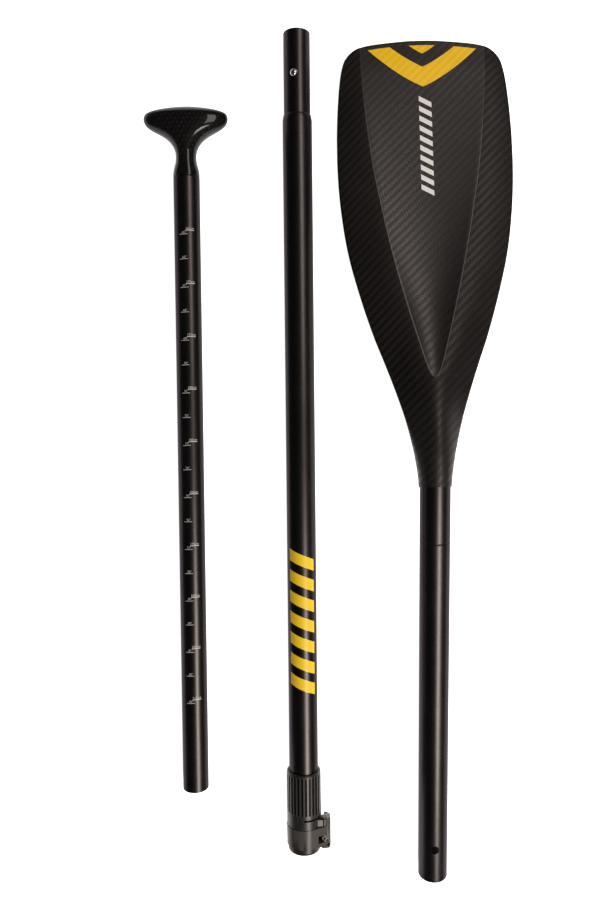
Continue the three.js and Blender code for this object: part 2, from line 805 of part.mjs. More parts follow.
// Crest height of the face side, keel depth of the back side and height of the edges.
const crest = curve([
  [0, 15.7],
  [10, 18.1],
  [20, 20.2],
  [32, 22.3],
  [48, 23.2],
  [75, 22.4],
  [100, 20.2],
  [137, 16.6],
  [178, 12.4],
  [222, 9.0],
  [300, 6.2],
  [376, 4.6],
  [430, 3.2],
]);
const keel = curve([
  [0, -15.7],
  [10, -13.6],
  [20, -11.7],
  [32, -9.7],
  [48, -7.8],
  [75, -6.0],
  [100, -5.2],
  [137, -4.7],
  [178, -4.3],
  [222, -4.0],
  [300, -3.5],
  [376, -2.9],
  [430, -2.4],
]);
const edgeLine = curve([
  [0, 0],
  [20, 2.5],
  [45, 4.6],
  [61, 5.0],
  [80, 4.7],
  [100, 3.8],
  [137, 2.0],
  [178, 0.7],
  [222, 0.1],
  [300, 0],
  [430, 0],
]);
// Half distance between the two ridges, which meet in a rounded point near the neck.
const ridge = curve([
  [100, 0],
  [103, 3.6],
  [110, 6.4],
  [137, 14.2],
  [178, 25.0],
  [222, 35.2],
  [264, 43.4],
  [312, 51.3],
  [376, 57.7],
  [430, 60],
]);
const scoop = curve([
  [100, 0],
  [125, 2.2],
  [178, 4.4],
  [222, 4.0],
  [300, 3.0],
  [376, 1.6],
  [418, 0.5],
  [430, 0.3],
]);
const edgeHalf = (v) => 1.35 * smooth(0, 45, v);

// 0 at the outline, 1 from 1.8 mm inside it.
function edgeRound(u, v) {
  const a = Math.abs(u);
  const side = Math.max(0, halfWidth(Math.min(v, CORNER_V)) - a);
  const tip = Math.max(0, tipEdge(Math.min(a, CORNER_U)) - v);
  const d = v > 380 ? Math.min(side * mix(1, 0.8, smooth(383, 417, v)), tip) : side;
  const k = Math.min(1, d / 1.8);
  return Math.sqrt(Math.max(0, 1 - (1 - k) ** 2));
}
function flank(x, v) {
  const q = Math.min(1, Math.abs(x));
  const round = Math.sqrt(Math.max(0, 1 - q * q));
  const bell = mix(0.5 + 0.5 * Math.cos(Math.PI * q), 1 - q * q, 0.55);
  const wing = 1 - q ** 1.7;
  return mix(mix(round, bell, smooth(8, 70, v)), wing, smooth(95, 190, v));
}
function faceSide(u, v) {
  const hw = halfWidth(Math.min(v, CORNER_V));
  const rho = v > 100 ? Math.min(ridge(v), hw - 6) : 0;
  const a = Math.abs(u);
  const e = edgeHalf(v);
  const top = crest(v) - edgeLine(v) - e;
  let f = 1;
  let dip = 0;
  if (a > rho) f = flank((a - rho) / Math.max(1e-3, hw - rho), v);
  else dip = scoop(v) * (1 - (a / Math.max(1e-3, rho)) ** 2);
  const tipFade = mix(1, 0.35, smooth(398, 430, v));
  return edgeLine(v) + e * edgeRound(u, v) + (top * f - dip) * (v > 398 ? tipFade : 1) * (v > 398 ? mix(1, edgeRound(u, v), smooth(398, 430, v)) : 1);
}
function backSide(u, v) {
  const hw = halfWidth(Math.min(v, CORNER_V));
  const q = Math.min(1, Math.abs(u) / hw);
  const e = edgeHalf(v);
  const depth = edgeLine(v) - keel(v) - e;
  const round = Math.sqrt(Math.max(0, 1 - q * q));
  const bell = 0.5 + 0.5 * Math.cos(Math.PI * q);
  const plate = 1 - q ** 2.2;
  const f = mix(mix(round, bell, smooth(8, 70, v)), plate, smooth(90, 180, v));
  const fade = v > 398 ? mix(1, 0.35 * edgeRound(u, v), smooth(398, 430, v)) : 1;
  return edgeLine(v) - e * edgeRound(u, v) - depth * f * fade;
}

// Grid stations: across from -1 to 1, along from 0 to 1.
const ACROSS = 18;
const STATIONS = [
  0, 10, 22, 36, 44, 58, 76, 99, 115, 137, 165, 195, 230, 270, 310, 350, 380, 398, 409, CORNER_V,
];
function bladePoint(s, v, inset) {
  const c = Math.sin((s * Math.PI) / 2);
  const hw = halfWidth(v) - inset;
  const u = c * hw;
  const reach = smooth(330, CORNER_V, v) ** 1.5;
  const along = v + (tipEdge(Math.min(Math.abs(u), CORNER_U)) - CORNER_V - inset) * reach;
  return [u, along];
}
function bladeGrid(height, inset = 0, stations = STATIONS) {
  return stations.map((v) => {
    const row = [];
    for (let j = 0; j <= ACROSS; j++) {
      const s = -1 + (2 * j) / ACROSS;
      const [u, along] = bladePoint(s, v, inset);
      row.push([u, along, height(u, along)]);
    }
    return row;
  });
}
const HOLLOW_FROM = 36;
const HALF_GAP = GAP / 2;
const faceOuter = (u, v) => Math.max(faceSide(u, v), edgeLine(v) + HALF_GAP + 0.12);
const faceInner = (u, v) => {
  const flat = edgeLine(v) + HALF_GAP;
  const k = smooth(HOLLOW_FROM, HOLLOW_FROM + 8, v) * smooth(0, 0.999, edgeRound(u, v));
  return mix(flat, Math.max(flat, faceSide(u, v) - SKIN), k);
};
const backOuter = (u, v) => Math.min(backSide(u, v), edgeLine(v) - HALF_GAP - 0.12);
const backInner = (u, v) => {
  const flat = edgeLine(v) - HALF_GAP;
  const k = smooth(HOLLOW_FROM, HOLLOW_FROM + 8, v) * smooth(0, 0.999, edgeRound(u, v));
  return mix(flat, Math.min(flat, backSide(u, v) + SKIN), k);
};
// Room for the neck tube, which runs on straight into the blade.
const tubeRoom = rod(BLADE_TUBE_R + 0.25, -20, TUBE_IN_BLADE + 0.6, ROUND).rotate([
  SHAFT_RISE + BLADE_FALL,
  0,
  0,
]);
const faceSkin = solid(plated(bladeGrid(faceOuter), bladeGrid(faceInner))).subtract(tubeRoom);
const backSkin = solid(plated(bladeGrid(backInner), bladeGrid(backOuter))).subtract(tubeRoom);
bladeGroup.add(piece("blade_face", faceSkin, "laminate"));
bladeGroup.add(piece("blade_back", backSkin, "laminate"));
{
  const stations = [46, 58, 76, 99, 115, 137, 165, 195, 230, 270, 310, 350, 380, 402];
  const upper = (u, v) => Math.max(faceSide(u, v) - SKIN - CORE_GAP, edgeLine(v) + 0.1);
  const lower = (u, v) => Math.min(backSide(u, v) + SKIN + CORE_GAP, edgeLine(v) - 0.1);
  // trimmed back from both skins
  const core = solid(plated(bladeGrid(upper, 9, stations), bladeGrid(lower, 9, stations)))
    .subtract(faceSkin.translate([0, 0, -CORE_GAP / 2]))
    .subtract(backSkin.translate([0, 0, CORE_GAP / 2]));
  bladeGroup.add(piece("blade_core", core, "foam"));
}

export default set;
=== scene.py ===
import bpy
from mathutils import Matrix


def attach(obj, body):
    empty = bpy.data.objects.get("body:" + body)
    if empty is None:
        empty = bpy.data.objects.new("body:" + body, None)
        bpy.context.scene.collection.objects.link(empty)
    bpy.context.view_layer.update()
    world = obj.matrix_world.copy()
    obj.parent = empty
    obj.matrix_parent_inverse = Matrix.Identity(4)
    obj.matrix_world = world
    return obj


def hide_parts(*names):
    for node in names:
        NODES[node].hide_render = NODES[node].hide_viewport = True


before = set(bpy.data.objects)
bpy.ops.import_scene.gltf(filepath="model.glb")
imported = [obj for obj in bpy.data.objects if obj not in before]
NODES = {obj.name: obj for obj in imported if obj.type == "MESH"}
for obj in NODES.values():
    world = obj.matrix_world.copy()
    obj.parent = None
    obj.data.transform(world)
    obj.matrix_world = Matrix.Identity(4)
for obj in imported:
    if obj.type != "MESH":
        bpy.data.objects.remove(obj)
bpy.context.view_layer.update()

import math

import bmesh
import bpy
import numpy as np
from mathutils import Matrix, Vector

SCENE = bpy.context.scene


# ------------------------------------------------------------------ places of the sections
# Shapes are built in millimetres in the same local axes as the CAD sections: x across, y along, z up.
def rx(a):
    c, s = math.cos(a), math.sin(a)
    return np.array([[1, 0, 0], [0, c, -s], [0, s, c]])


def rz(a):
    c, s = math.cos(a), math.sin(a)
    return np.array([[c, -s, 0], [s, c, 0], [0, 0, 1]])


class Place:
    def __init__(self, rotation, origin):
        self.R, self.o = np.array(rotation, float), np.array(origin, float)

    def __call__(self, points):
        return (np.asarray(points, float) @ self.R.T + self.o) * 0.001

    def matrix(self):
        m = Matrix.Identity(4)
        for i in range(3):
            for j in range(3):
                m[i][j] = self.R[i][j] * 0.001
            m[i][3] = self.o[i] * 0.001
        return m


CENTRE = np.array([29.741, -73.976, 0.0])
MID_TILT = math.asin((17.0 - 14.1) / 694)
HANDLE_TILT = math.asin((15.8 - 12.55) / 645.5)
RISE, FALL, YAW = math.radians(5.8), math.radians(6.99), math.radians(0.38)
NECK_END = 389.9

MIDDLE = Place(
    rx(-MID_TILT),
    np.array([0.2, -453.2, 17.0 * math.cos(MID_TILT) + 25.0 * math.sin(MID_TILT)])
    - CENTRE,
)
HANDLE = Place(
    rx(HANDLE_TILT),
    np.array([-106.2, -394.2, 12.55 * math.cos(HANDLE_TILT) + 0.02]) - CENTRE,
)
SHAFT = Place(
    rz(YAW) @ rx(RISE), np.array([126.4, -482.2, 14.1 * math.cos(RISE)]) - CENTRE
)
BLADE = Place(
    SHAFT.R @ rx(-(RISE + FALL)), SHAFT.R @ np.array([0, NECK_END, 0]) + SHAFT.o
)


# ------------------------------------------------------------------ curves
def curve(table):
    """Monotone cubic through rows of (x, value)."""
    x = np.array([p[0] for p in table], float)
    y = np.array([p[1] for p in table], float)
    d = np.diff(y) / np.diff(x)
    m = np.zeros(len(x))
    m[0], m[-1] = d[0], d[-1]
    for i in range(1, len(x) - 1):
        if d[i - 1] * d[i] > 0:
            a, b = x[i] - x[i - 1], x[i + 1] - x[i]
            m[i] = 3 * (a + b) / ((2 * b + a) / d[i - 1] + (b + 2 * a) / d[i])

    def f(v):
        v = np.clip(np.asarray(v, float), x[0], x[-1])
        i = np.clip(np.searchsorted(x, v, side="right") - 1, 0, len(x) - 2)
        h = x[i + 1] - x[i]
        t = (v - x[i]) / h
        t2, t3 = t * t, t * t * t
        return (
            (2 * t3 - 3 * t2 + 1) * y[i]
            + (t3 - 2 * t2 + t) * h * m[i]
            + (-2 * t3 + 3 * t2) * y[i + 1]
            + (t3 - t2) * h * m[i + 1]
        )

    return f


def smooth(a, b, x):
    t = np.clip((np.asarray(x, float) - a) / (b - a), 0, 1)
    return t * t * (3 - 2 * t)


def mix(a, b, t):
    return a + (b - a) * t


# ------------------------------------------------------------------ meshes
def new_object(name, verts, faces):
    mesh = bpy.data.meshes.new(name)
    mesh.from_pydata([tuple(map(float, v)) for v in verts], [], faces)
    mesh.validate()
    mesh.update()
    ob = bpy.data.objects.new(name, mesh)
    SCENE.collection.objects.link(ob)
    return ob


def face_out(ob):
    bm = bmesh.new()
    bm.from_mesh(ob.data)
    bmesh.ops.recalc_face_normals(bm, faces=bm.faces)
    if bm.calc_volume(signed=True) < 0:
        bmesh.ops.reverse_faces(bm, faces=bm.faces)
    bm.to_mesh(ob.data)
    bm.free()
    return ob


def lathe(name, profile, n=96):
    """Closed profile of (radius, along), turned about local Y."""
    verts, rings = [], []
    for r, y in profile:
        if r < 1e-6:
            rings.append([len(verts)])
            verts.append((0, y, 0))
        else:
            rings.append(list(range(len(verts), len(verts) + n)))
            for k in range(n):
                a = 2 * math.pi * k / n
                verts.append((r * math.sin(a), y, r * math.cos(a)))
    faces = []
    m = len(rings)
    for i in range(m):
        a, b = rings[i], rings[(i + 1) % m]
        if len(a) == 1 and len(b) == 1:
            continue
        for k in range(n):
            k2 = (k + 1) % n
            if len(a) == 1:
                faces.append((a[0], b[k], b[k2]))
            elif len(b) == 1:
                faces.append((a[k], a[k2], b[0]))
            else:
                faces.append((a[k], a[k2], b[k2], b[k]))
    return face_out(new_object(name, verts, faces))


def extrude(name, outline, y0, y1):
    """Outline of (x, z) drawn out along local Y."""
    n = len(outline)
    verts = [(x, y0, z) for x, z in outline] + [(x, y1, z) for x, z in outline]
    faces = [tuple(range(n)), tuple(range(2 * n - 1, n - 1, -1))]
    faces += [(i, (i + 1) % n, n + (i + 1) % n, n + i) for i in range(n)]
    return face_out(new_object(name, verts, faces))


def box(name, x0, x1, y0, y1, z0, z1):
    return extrude(name, [(x0, z0), (x1, z0), (x1, z1), (x0, z1)], y0, y1)


def upright(name, r, x, y, z0, z1, n=40):
    """Rod along local Z."""
    ring = [
        (x + r * math.cos(2 * math.pi * k / n), y + r * math.sin(2 * math.pi * k / n))
        for k in range(n)
    ]
    verts = [(a, b, z0) for a, b in ring] + [(a, b, z1) for a, b in ring]
    faces = [tuple(range(n)), tuple(range(2 * n - 1, n - 1, -1))]
    faces += [(i, (i + 1) % n, n + (i + 1) % n, n + i) for i in range(n)]
    return face_out(new_object(name, verts, faces))


def rod(name, r, y0, y1, n=96, x=0.0, z=0.0):
    ob = lathe(name, [(0, y0), (r, y0), (r, y1), (0, y1)], n)
    if x or z:
        ob.data.transform(Matrix.Translation((x, 0, z)))
    return ob


def arc(cx, cz, r, a0, a1, n=14):
    return [
        (
            cx + r * math.cos(a0 + (a1 - a0) * k / n),
            cz + r * math.sin(a0 + (a1 - a0) * k / n),
        )
        for k in range(n + 1)
    ]


def bezier(p0, p1, p2, p3, n=10):
    out = []
    for k in range(1, n + 1):
        t = k / n
        a, b, c, d = (1 - t) ** 3, 3 * t * (1 - t) ** 2, 3 * t * t * (1 - t), t**3
        out.append(
            (
                a * p0[0] + b * p1[0] + c * p2[0] + d * p3[0],
                a * p0[1] + b * p1[1] + c * p2[1] + d * p3[1],
            )
        )
    return out


def settle(ob):
    """Applies the object's modifiers to its mesh."""
    bpy.context.view_layer.update()
    deps = bpy.context.evaluated_depsgraph_get()
    mesh = bpy.data.meshes.new_from_object(ob.evaluated_get(deps))
    old = ob.data
    ob.modifiers.clear()
    ob.data = mesh
    bpy.data.meshes.remove(old)
    return ob


def boolean(ob, tool, how="DIFFERENCE", solver="MANIFOLD"):
    m = ob.modifiers.new("cut", "BOOLEAN")
    m.operation, m.object, m.solver = how, tool, solver
    count = len(ob.data.vertices)
    settle(ob)
    if len(ob.data.vertices) == 0:
        raise RuntimeError(f"{ob.name}: the cut with {tool.name} left nothing of {count}")
    bpy.data.objects.remove(tool)
    return ob


def soften(ob, width=0.3, segments=3, angle=32):
    """Rounds the edges, with a bevel in millimetres."""
    bm = bmesh.new()
    bm.from_mesh(ob.data)
    bmesh.ops.remove_doubles(bm, verts=bm.verts, dist=1e-4)
    bmesh.ops.dissolve_degenerate(bm, dist=1e-4, edges=bm.edges)
    bmesh.ops.dissolve_limit(
        bm, angle_limit=math.radians(0.4), verts=bm.verts, edges=bm.edges
    )
    bm.to_mesh(ob.data)
    bm.free()
    m = ob.modifiers.new("bevel", "BEVEL")
    m.width, m.segments = width, segments
    m.limit_method, m.angle_limit = "ANGLE", math.radians(angle)
    m.use_clamp_overlap = True
    m.miter_outer = "MITER_ARC"
    return settle(ob)


def finish_piece(ob, place, body, material, slot, *nodes, sharp=38, weighted=False):
    if place is not None:
        ob.data.transform(place.matrix())
    ob.data.shade_smooth()
    ob.data.set_sharp_from_angle(angle=math.radians(sharp))
    if weighted:
        m = ob.modifiers.new("normals", "WEIGHTED_NORMAL")
        m.keep_sharp, m.weight = True, 100
        settle(ob)
    ob.data.materials.clear()
    ob.data.materials.append(material)
    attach(ob, body)
    if nodes:
        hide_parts(*nodes)
    return ob


# ------------------------------------------------------------------ materials
class Mat:
    """A node material with short calls for its maths."""

    def __init__(self, name, place=None):
        self.m = bpy.data.materials.new(name)
        self.m.use_nodes = True
        self.nt = self.m.node_tree
        self.nt.nodes.clear()
        self.out = self.nt.nodes.new("ShaderNodeOutputMaterial")
        self.b = self.nt.nodes.new("ShaderNodeBsdfPrincipled")
        self.nt.links.new(self.b.outputs[0], self.out.inputs[0])
        coord = self.nt.nodes.new("ShaderNodeTexCoord")
        mapping = self.nt.nodes.new("ShaderNodeMapping")
        self.nt.links.new(coord.outputs["Object"], mapping.inputs["Vector"])
        mapping.inputs["Scale"].default_value = (1000, 1000, 1000)
        if place is not None:
            inverse = Matrix(place.R.T.tolist())
            mapping.inputs["Rotation"].default_value = inverse.to_euler("XYZ")
            mapping.inputs["Location"].default_value = tuple(-(place.R.T @ place.o))
        self.p = mapping.outputs[0]  # local millimetres
        sep = self.nt.nodes.new("ShaderNodeSeparateXYZ")
        self.nt.links.new(self.p, sep.inputs[0])
        self.x, self.y, self.z = sep.outputs

    def _in(self, socket, value):
        if hasattr(value, "links"):
            self.nt.links.new(value, socket)
        elif value is not None:
            socket.default_value = value

    def f(self, op, a, b=None, c=None, clamp=False):
        n = self.nt.nodes.new("ShaderNodeMath")
        n.operation, n.use_clamp = op, clamp
        for s, v in zip(n.inputs, (a, b, c)):
            self._in(s, v)
        return n.outputs[0]

    def add(self, a, b):
        return self.f("ADD", a, b)

    def sub(self, a, b):
        return self.f("SUBTRACT", a, b)

    def mul(self, a, b):
        return self.f("MULTIPLY", a, b)

    def ramp(self, value, lo, hi, out0=0.0, out1=1.0, kind="SMOOTHSTEP"):
        n = self.nt.nodes.new("ShaderNodeMapRange")
        n.interpolation_type = kind
        self._in(n.inputs["Value"], value)
        n.inputs["From Min"].default_value = lo
        n.inputs["From Max"].default_value = hi
        n.inputs["To Min"].default_value = out0
        n.inputs["To Max"].default_value = out1
        return n.outputs[0]

    def vec(self, x, y, z):
        n = self.nt.nodes.new("ShaderNodeCombineXYZ")
        for s, v in zip(n.inputs, (x, y, z)):
            self._in(s, v)
        return n.outputs[0]

    def noise(self, scale, detail=3.0, rough=0.55, vector=None, stretch=None):
        v = vector if vector is not None else self.p
        if stretch:
            m = self.nt.nodes.new("ShaderNodeMapping")
            self.nt.links.new(v, m.inputs["Vector"])
            m.inputs["Scale"].default_value = stretch
            v = m.outputs[0]
        n = self.nt.nodes.new("ShaderNodeTexNoise")
        self.nt.links.new(v, n.inputs["Vector"])
        n.inputs["Scale"].default_value = scale
        n.inputs["Detail"].default_value = detail
        n.inputs["Roughness"].default_value = rough
        return n.outputs["Fac"] if "Fac" in n.outputs else n.outputs[0]

    def colour(self, fac, a, b):
        n = self.nt.nodes.new("ShaderNodeMix")
        n.data_type = "RGBA"
        self._in(n.inputs[0], fac)
        for s, v in ((n.inputs[6], a), (n.inputs[7], b)):
            self._in(s, (*v, 1.0) if isinstance(v, tuple) else v)
        return n.outputs[2]

    def bump(self, height, distance, strength=1.0, normal=None):
        """distance in millimetres for a height from 0 to 1."""
        n = self.nt.nodes.new("ShaderNodeBump")
        self._in(n.inputs["Height"], height)
        n.inputs["Distance"].default_value = distance * 0.001
        n.inputs["Strength"].default_value = strength
        if normal is not None:
            self.nt.links.new(normal, n.inputs["Normal"])
        return n.outputs[0]

    def set(self, **values):
        names = {
            "color": "Base Color",
            "rough": "Roughness",
            "metal": "Metallic",
            "normal": "Normal",
            "coat": "Coat Weight",
            "coat_rough": "Coat Roughness",
            "coat_normal": "Coat Normal",
            "ior": "IOR",
            "spec": "Specular IOR Level",
            "sheen": "Sheen Weight",
            "aniso": "Anisotropic",
            "tint": "Specular Tint",
        }
        for k, v in values.items():
            if isinstance(v, tuple):
                v = (*v, 1.0)
            self._in(self.b.inputs[names[k]], v)
        return self.m


def band(m, value, centre, half, soft):
    """1 within half of centre."""
    d = m.f("ABSOLUTE", m.sub(value, centre))
    return m.ramp(d, half - soft, half + soft, 1.0, 0.0)


def tube_material(name, place, prints=None, ends=(0, 700), tone=(0.0320, 0.0288, 0.0280)):
    m = Mat(name, place)
    angle = m.f("ARCTAN2", m.x, m.z)
    fine = m.noise(0.9, 4, 0.6, stretch=(1, 0.12, 1))
    cloudy = m.noise(0.035, 3, 0.5)
    scratch = m.noise(1.6, 2, 0.5, stretch=(1.0, 0.02, 1.0))
    scuff = m.ramp(scratch, 0.66, 0.74)
    patch = m.ramp(m.noise(0.06, 2, 0.5), 0.56, 0.70)
    scuff = m.mul(scuff, patch)
    # wear where the ends are handled
    low = m.ramp(m.y, ends[0], ends[0] + 26, 1.0, 0.0)
    high = m.ramp(m.y, ends[1] - 26, ends[1], 0.0, 1.0)
    rub = m.mul(m.add(low, high), m.ramp(m.noise(0.35, 4, 0.7), 0.5, 0.72))
    rough = m.add(m.ramp(fine, 0.3, 0.7, 0.285, 0.32), m.mul(cloudy, 0.05))
    metal = 1.0
    rough = m.add(rough, m.mul(rub, 0.12))
    base = m.colour(m.ramp(cloudy, 0.35, 0.7), tone, tuple(1.08 * c for c in tone))
    base = m.colour(m.mul(scuff, 0.25), base, (0.055, 0.052, 0.052))
    base = m.colour(m.mul(rub, 0.30), base, (0.040, 0.038, 0.037))
    # wrap of the cloth under the lacquer: a shallow helix
    turn = m.mul(angle, 1.9 / (2 * math.pi))
    helix = m.f("SINE", m.mul(m.add(m.mul(m.y, 1 / 1.9), turn), 2 * math.pi))
    height = m.add(m.mul(helix, 0.12), m.mul(fine, 0.5))
    if prints:
        mask, ink = prints(m, angle)
        base = m.colour(mask, base, ink)
        rough = m.add(rough, m.mul(mask, 0.08))
        height = m.add(height, m.mul(mask, 0.8))
        metal = m.sub(1.0, mask)
    n = m.bump(height, 0.010, 0.6)
    return m.set(
        color=base,
        rough=rough,
        metal=metal,
        normal=n,
        spec=0.38,
        tint=(0.60, 0.57, 0.61),
        coat=0.0,
    )


def bars(m, angle, centre, half_length, half_width, radius, period, share, slant):
    """A run of slanted bars printed along the tube."""
    across = m.mul(angle, radius)
    s = m.sub(m.y, centre)
    run = m.add(s, m.mul(across, slant))
    inside = m.mul(
        band(m, run, 0.0, half_length, 0.12), band(m, across, 0.0, half_width, 0.12)
    )
    phase = m.f("FRACT", m.add(m.mul(run, 1 / period), 0.5))
    bar = band(m, phase, 0.5, share / 2, 0.012)
    return m.mul(inside, bar)


def clamp_material(name, place, tone=(0.0085, 0.0078, 0.0075), grooved=False):
    m = Mat(name, place)
    grain = m.noise(4.5, 3, 0.6)
    cloudy = m.noise(0.12, 3, 0.5)
    base = m.colour(m.ramp(cloudy, 0.35, 0.7), tone, tuple(1.25 * c for c in tone))
    base = m.colour(m.ramp(grain, 0.62, 0.8, 0.0, 0.35), base, (0.045, 0.042, 0.040))
    geo = m.nt.nodes.new("ShaderNodeNewGeometry")
    edge = m.ramp(geo.outputs["Pointiness"], 0.53, 0.60, 0.0, 1.0)
    base = m.colour(m.mul(edge, 0.5), base, (0.070, 0.065, 0.061))
    rough = m.add(m.ramp(grain, 0.3, 0.7, 0.33, 0.41), m.mul(edge, -0.05))
    spec = 0.18
    if grooved:
        # painted shade in the bottoms of the grooves: darker colour and less specular there
        radius = m.f("SQRT", m.add(m.mul(m.x, m.x), m.mul(m.z, m.z)))
        groove_shade = m.mul(m.ramp(radius, 15.85, 16.45, 1.0, 0.0), band(m, m.y, 57.6, 18.9, 0.3))
        base = m.colour(m.mul(groove_shade, 0.92), base, (0.0022, 0.0020, 0.0019))
        spec = m.ramp(groove_shade, 0.0, 1.0, 0.32, 0.04)
        # painted highlight: the rib tops get a lighter colour than the grooves between them
        rib_highlight = m.mul(m.ramp(radius, 16.35, 16.58), band(m, m.y, 57.6, 18.7, 0.5))
        base = m.colour(m.mul(rib_highlight, 0.5), base, (0.044, 0.040, 0.037))
    n = m.bump(grain, 0.035, 0.8)
    return m.set(color=base, rough=rough, normal=n, spec=spec, tint=(1.0, 0.96, 0.93))


def grip_material(place):
    m = Mat("gloss woven grip", place)
    # staggered dashes of the weave showing through the lacquer
    px, py = 3.9, 3.95
    row = m.f("FLOOR", m.mul(m.y, 1 / py))
    shift = m.mul(m.f("FLOORED_MODULO", row, 2.0), 0.5)
    cx = m.sub(m.f("FRACT", m.add(m.mul(m.x, 1 / px), shift)), 0.5)
    cy = m.sub(m.f("FRACT", m.mul(m.y, 1 / py)), 0.5)
    lean = m.add(m.mul(cx, px), m.mul(m.mul(cy, py), -0.30))
    dash = m.mul(
        m.ramp(m.f("ABSOLUTE", lean), 0.20, 0.62, 1.0, 0.0),
        m.ramp(m.f("ABSOLUTE", m.mul(cy, py)), 0.55, 1.15, 1.0, 0.0),
    )
    # over the broad faces only
    face = m.ramp(m.f("ABSOLUTE", m.x), 22.0, 31.0, 1.0, 0.0)
    foot = m.ramp(m.y, 606, 614, 0.0, 1.0)
    weave = m.noise(0.22, 3, 0.6)
    mask = m.mul(m.mul(dash, m.mul(face, foot)), m.ramp(weave, 0.3, 0.6, 0.35, 1.0))
    tow = m.f(
        "FLOORED_MODULO",
        m.sub(m.f("FLOOR", m.mul(m.y, 1 / 2.1)), m.f("FLOOR", m.mul(m.x, 1 / 2.1))),
        4.0,
    )
    twill = m.ramp(tow, 1.4, 1.6)
    base = m.colour(m.mul(twill, 0.6), (0.0030, 0.0028, 0.0029), (0.0062, 0.0057, 0.0056))
    base = m.colour(m.mul(mask, 0.7), base, (0.026, 0.022, 0.019))
    smear = m.noise(0.05, 3, 0.5)
    rough = m.ramp(smear, 0.35, 0.75, 0.10, 0.17)
    inner = m.bump(m.add(m.mul(twill, 0.3), m.mul(mask, 1.0)), 0.04, 0.5)
    wave = m.bump(m.noise(0.10, 2, 0.4), 0.05, 0.5)
    return m.set(
        color=base,
        rough=m.add(rough, 0.22),
        normal=inner,
        coat=0.32,
        coat_rough=0.05,
        coat_normal=wave,
        spec=0.04,
        tint=(1.0, 0.95, 0.93),
    )


TOW = 2.12


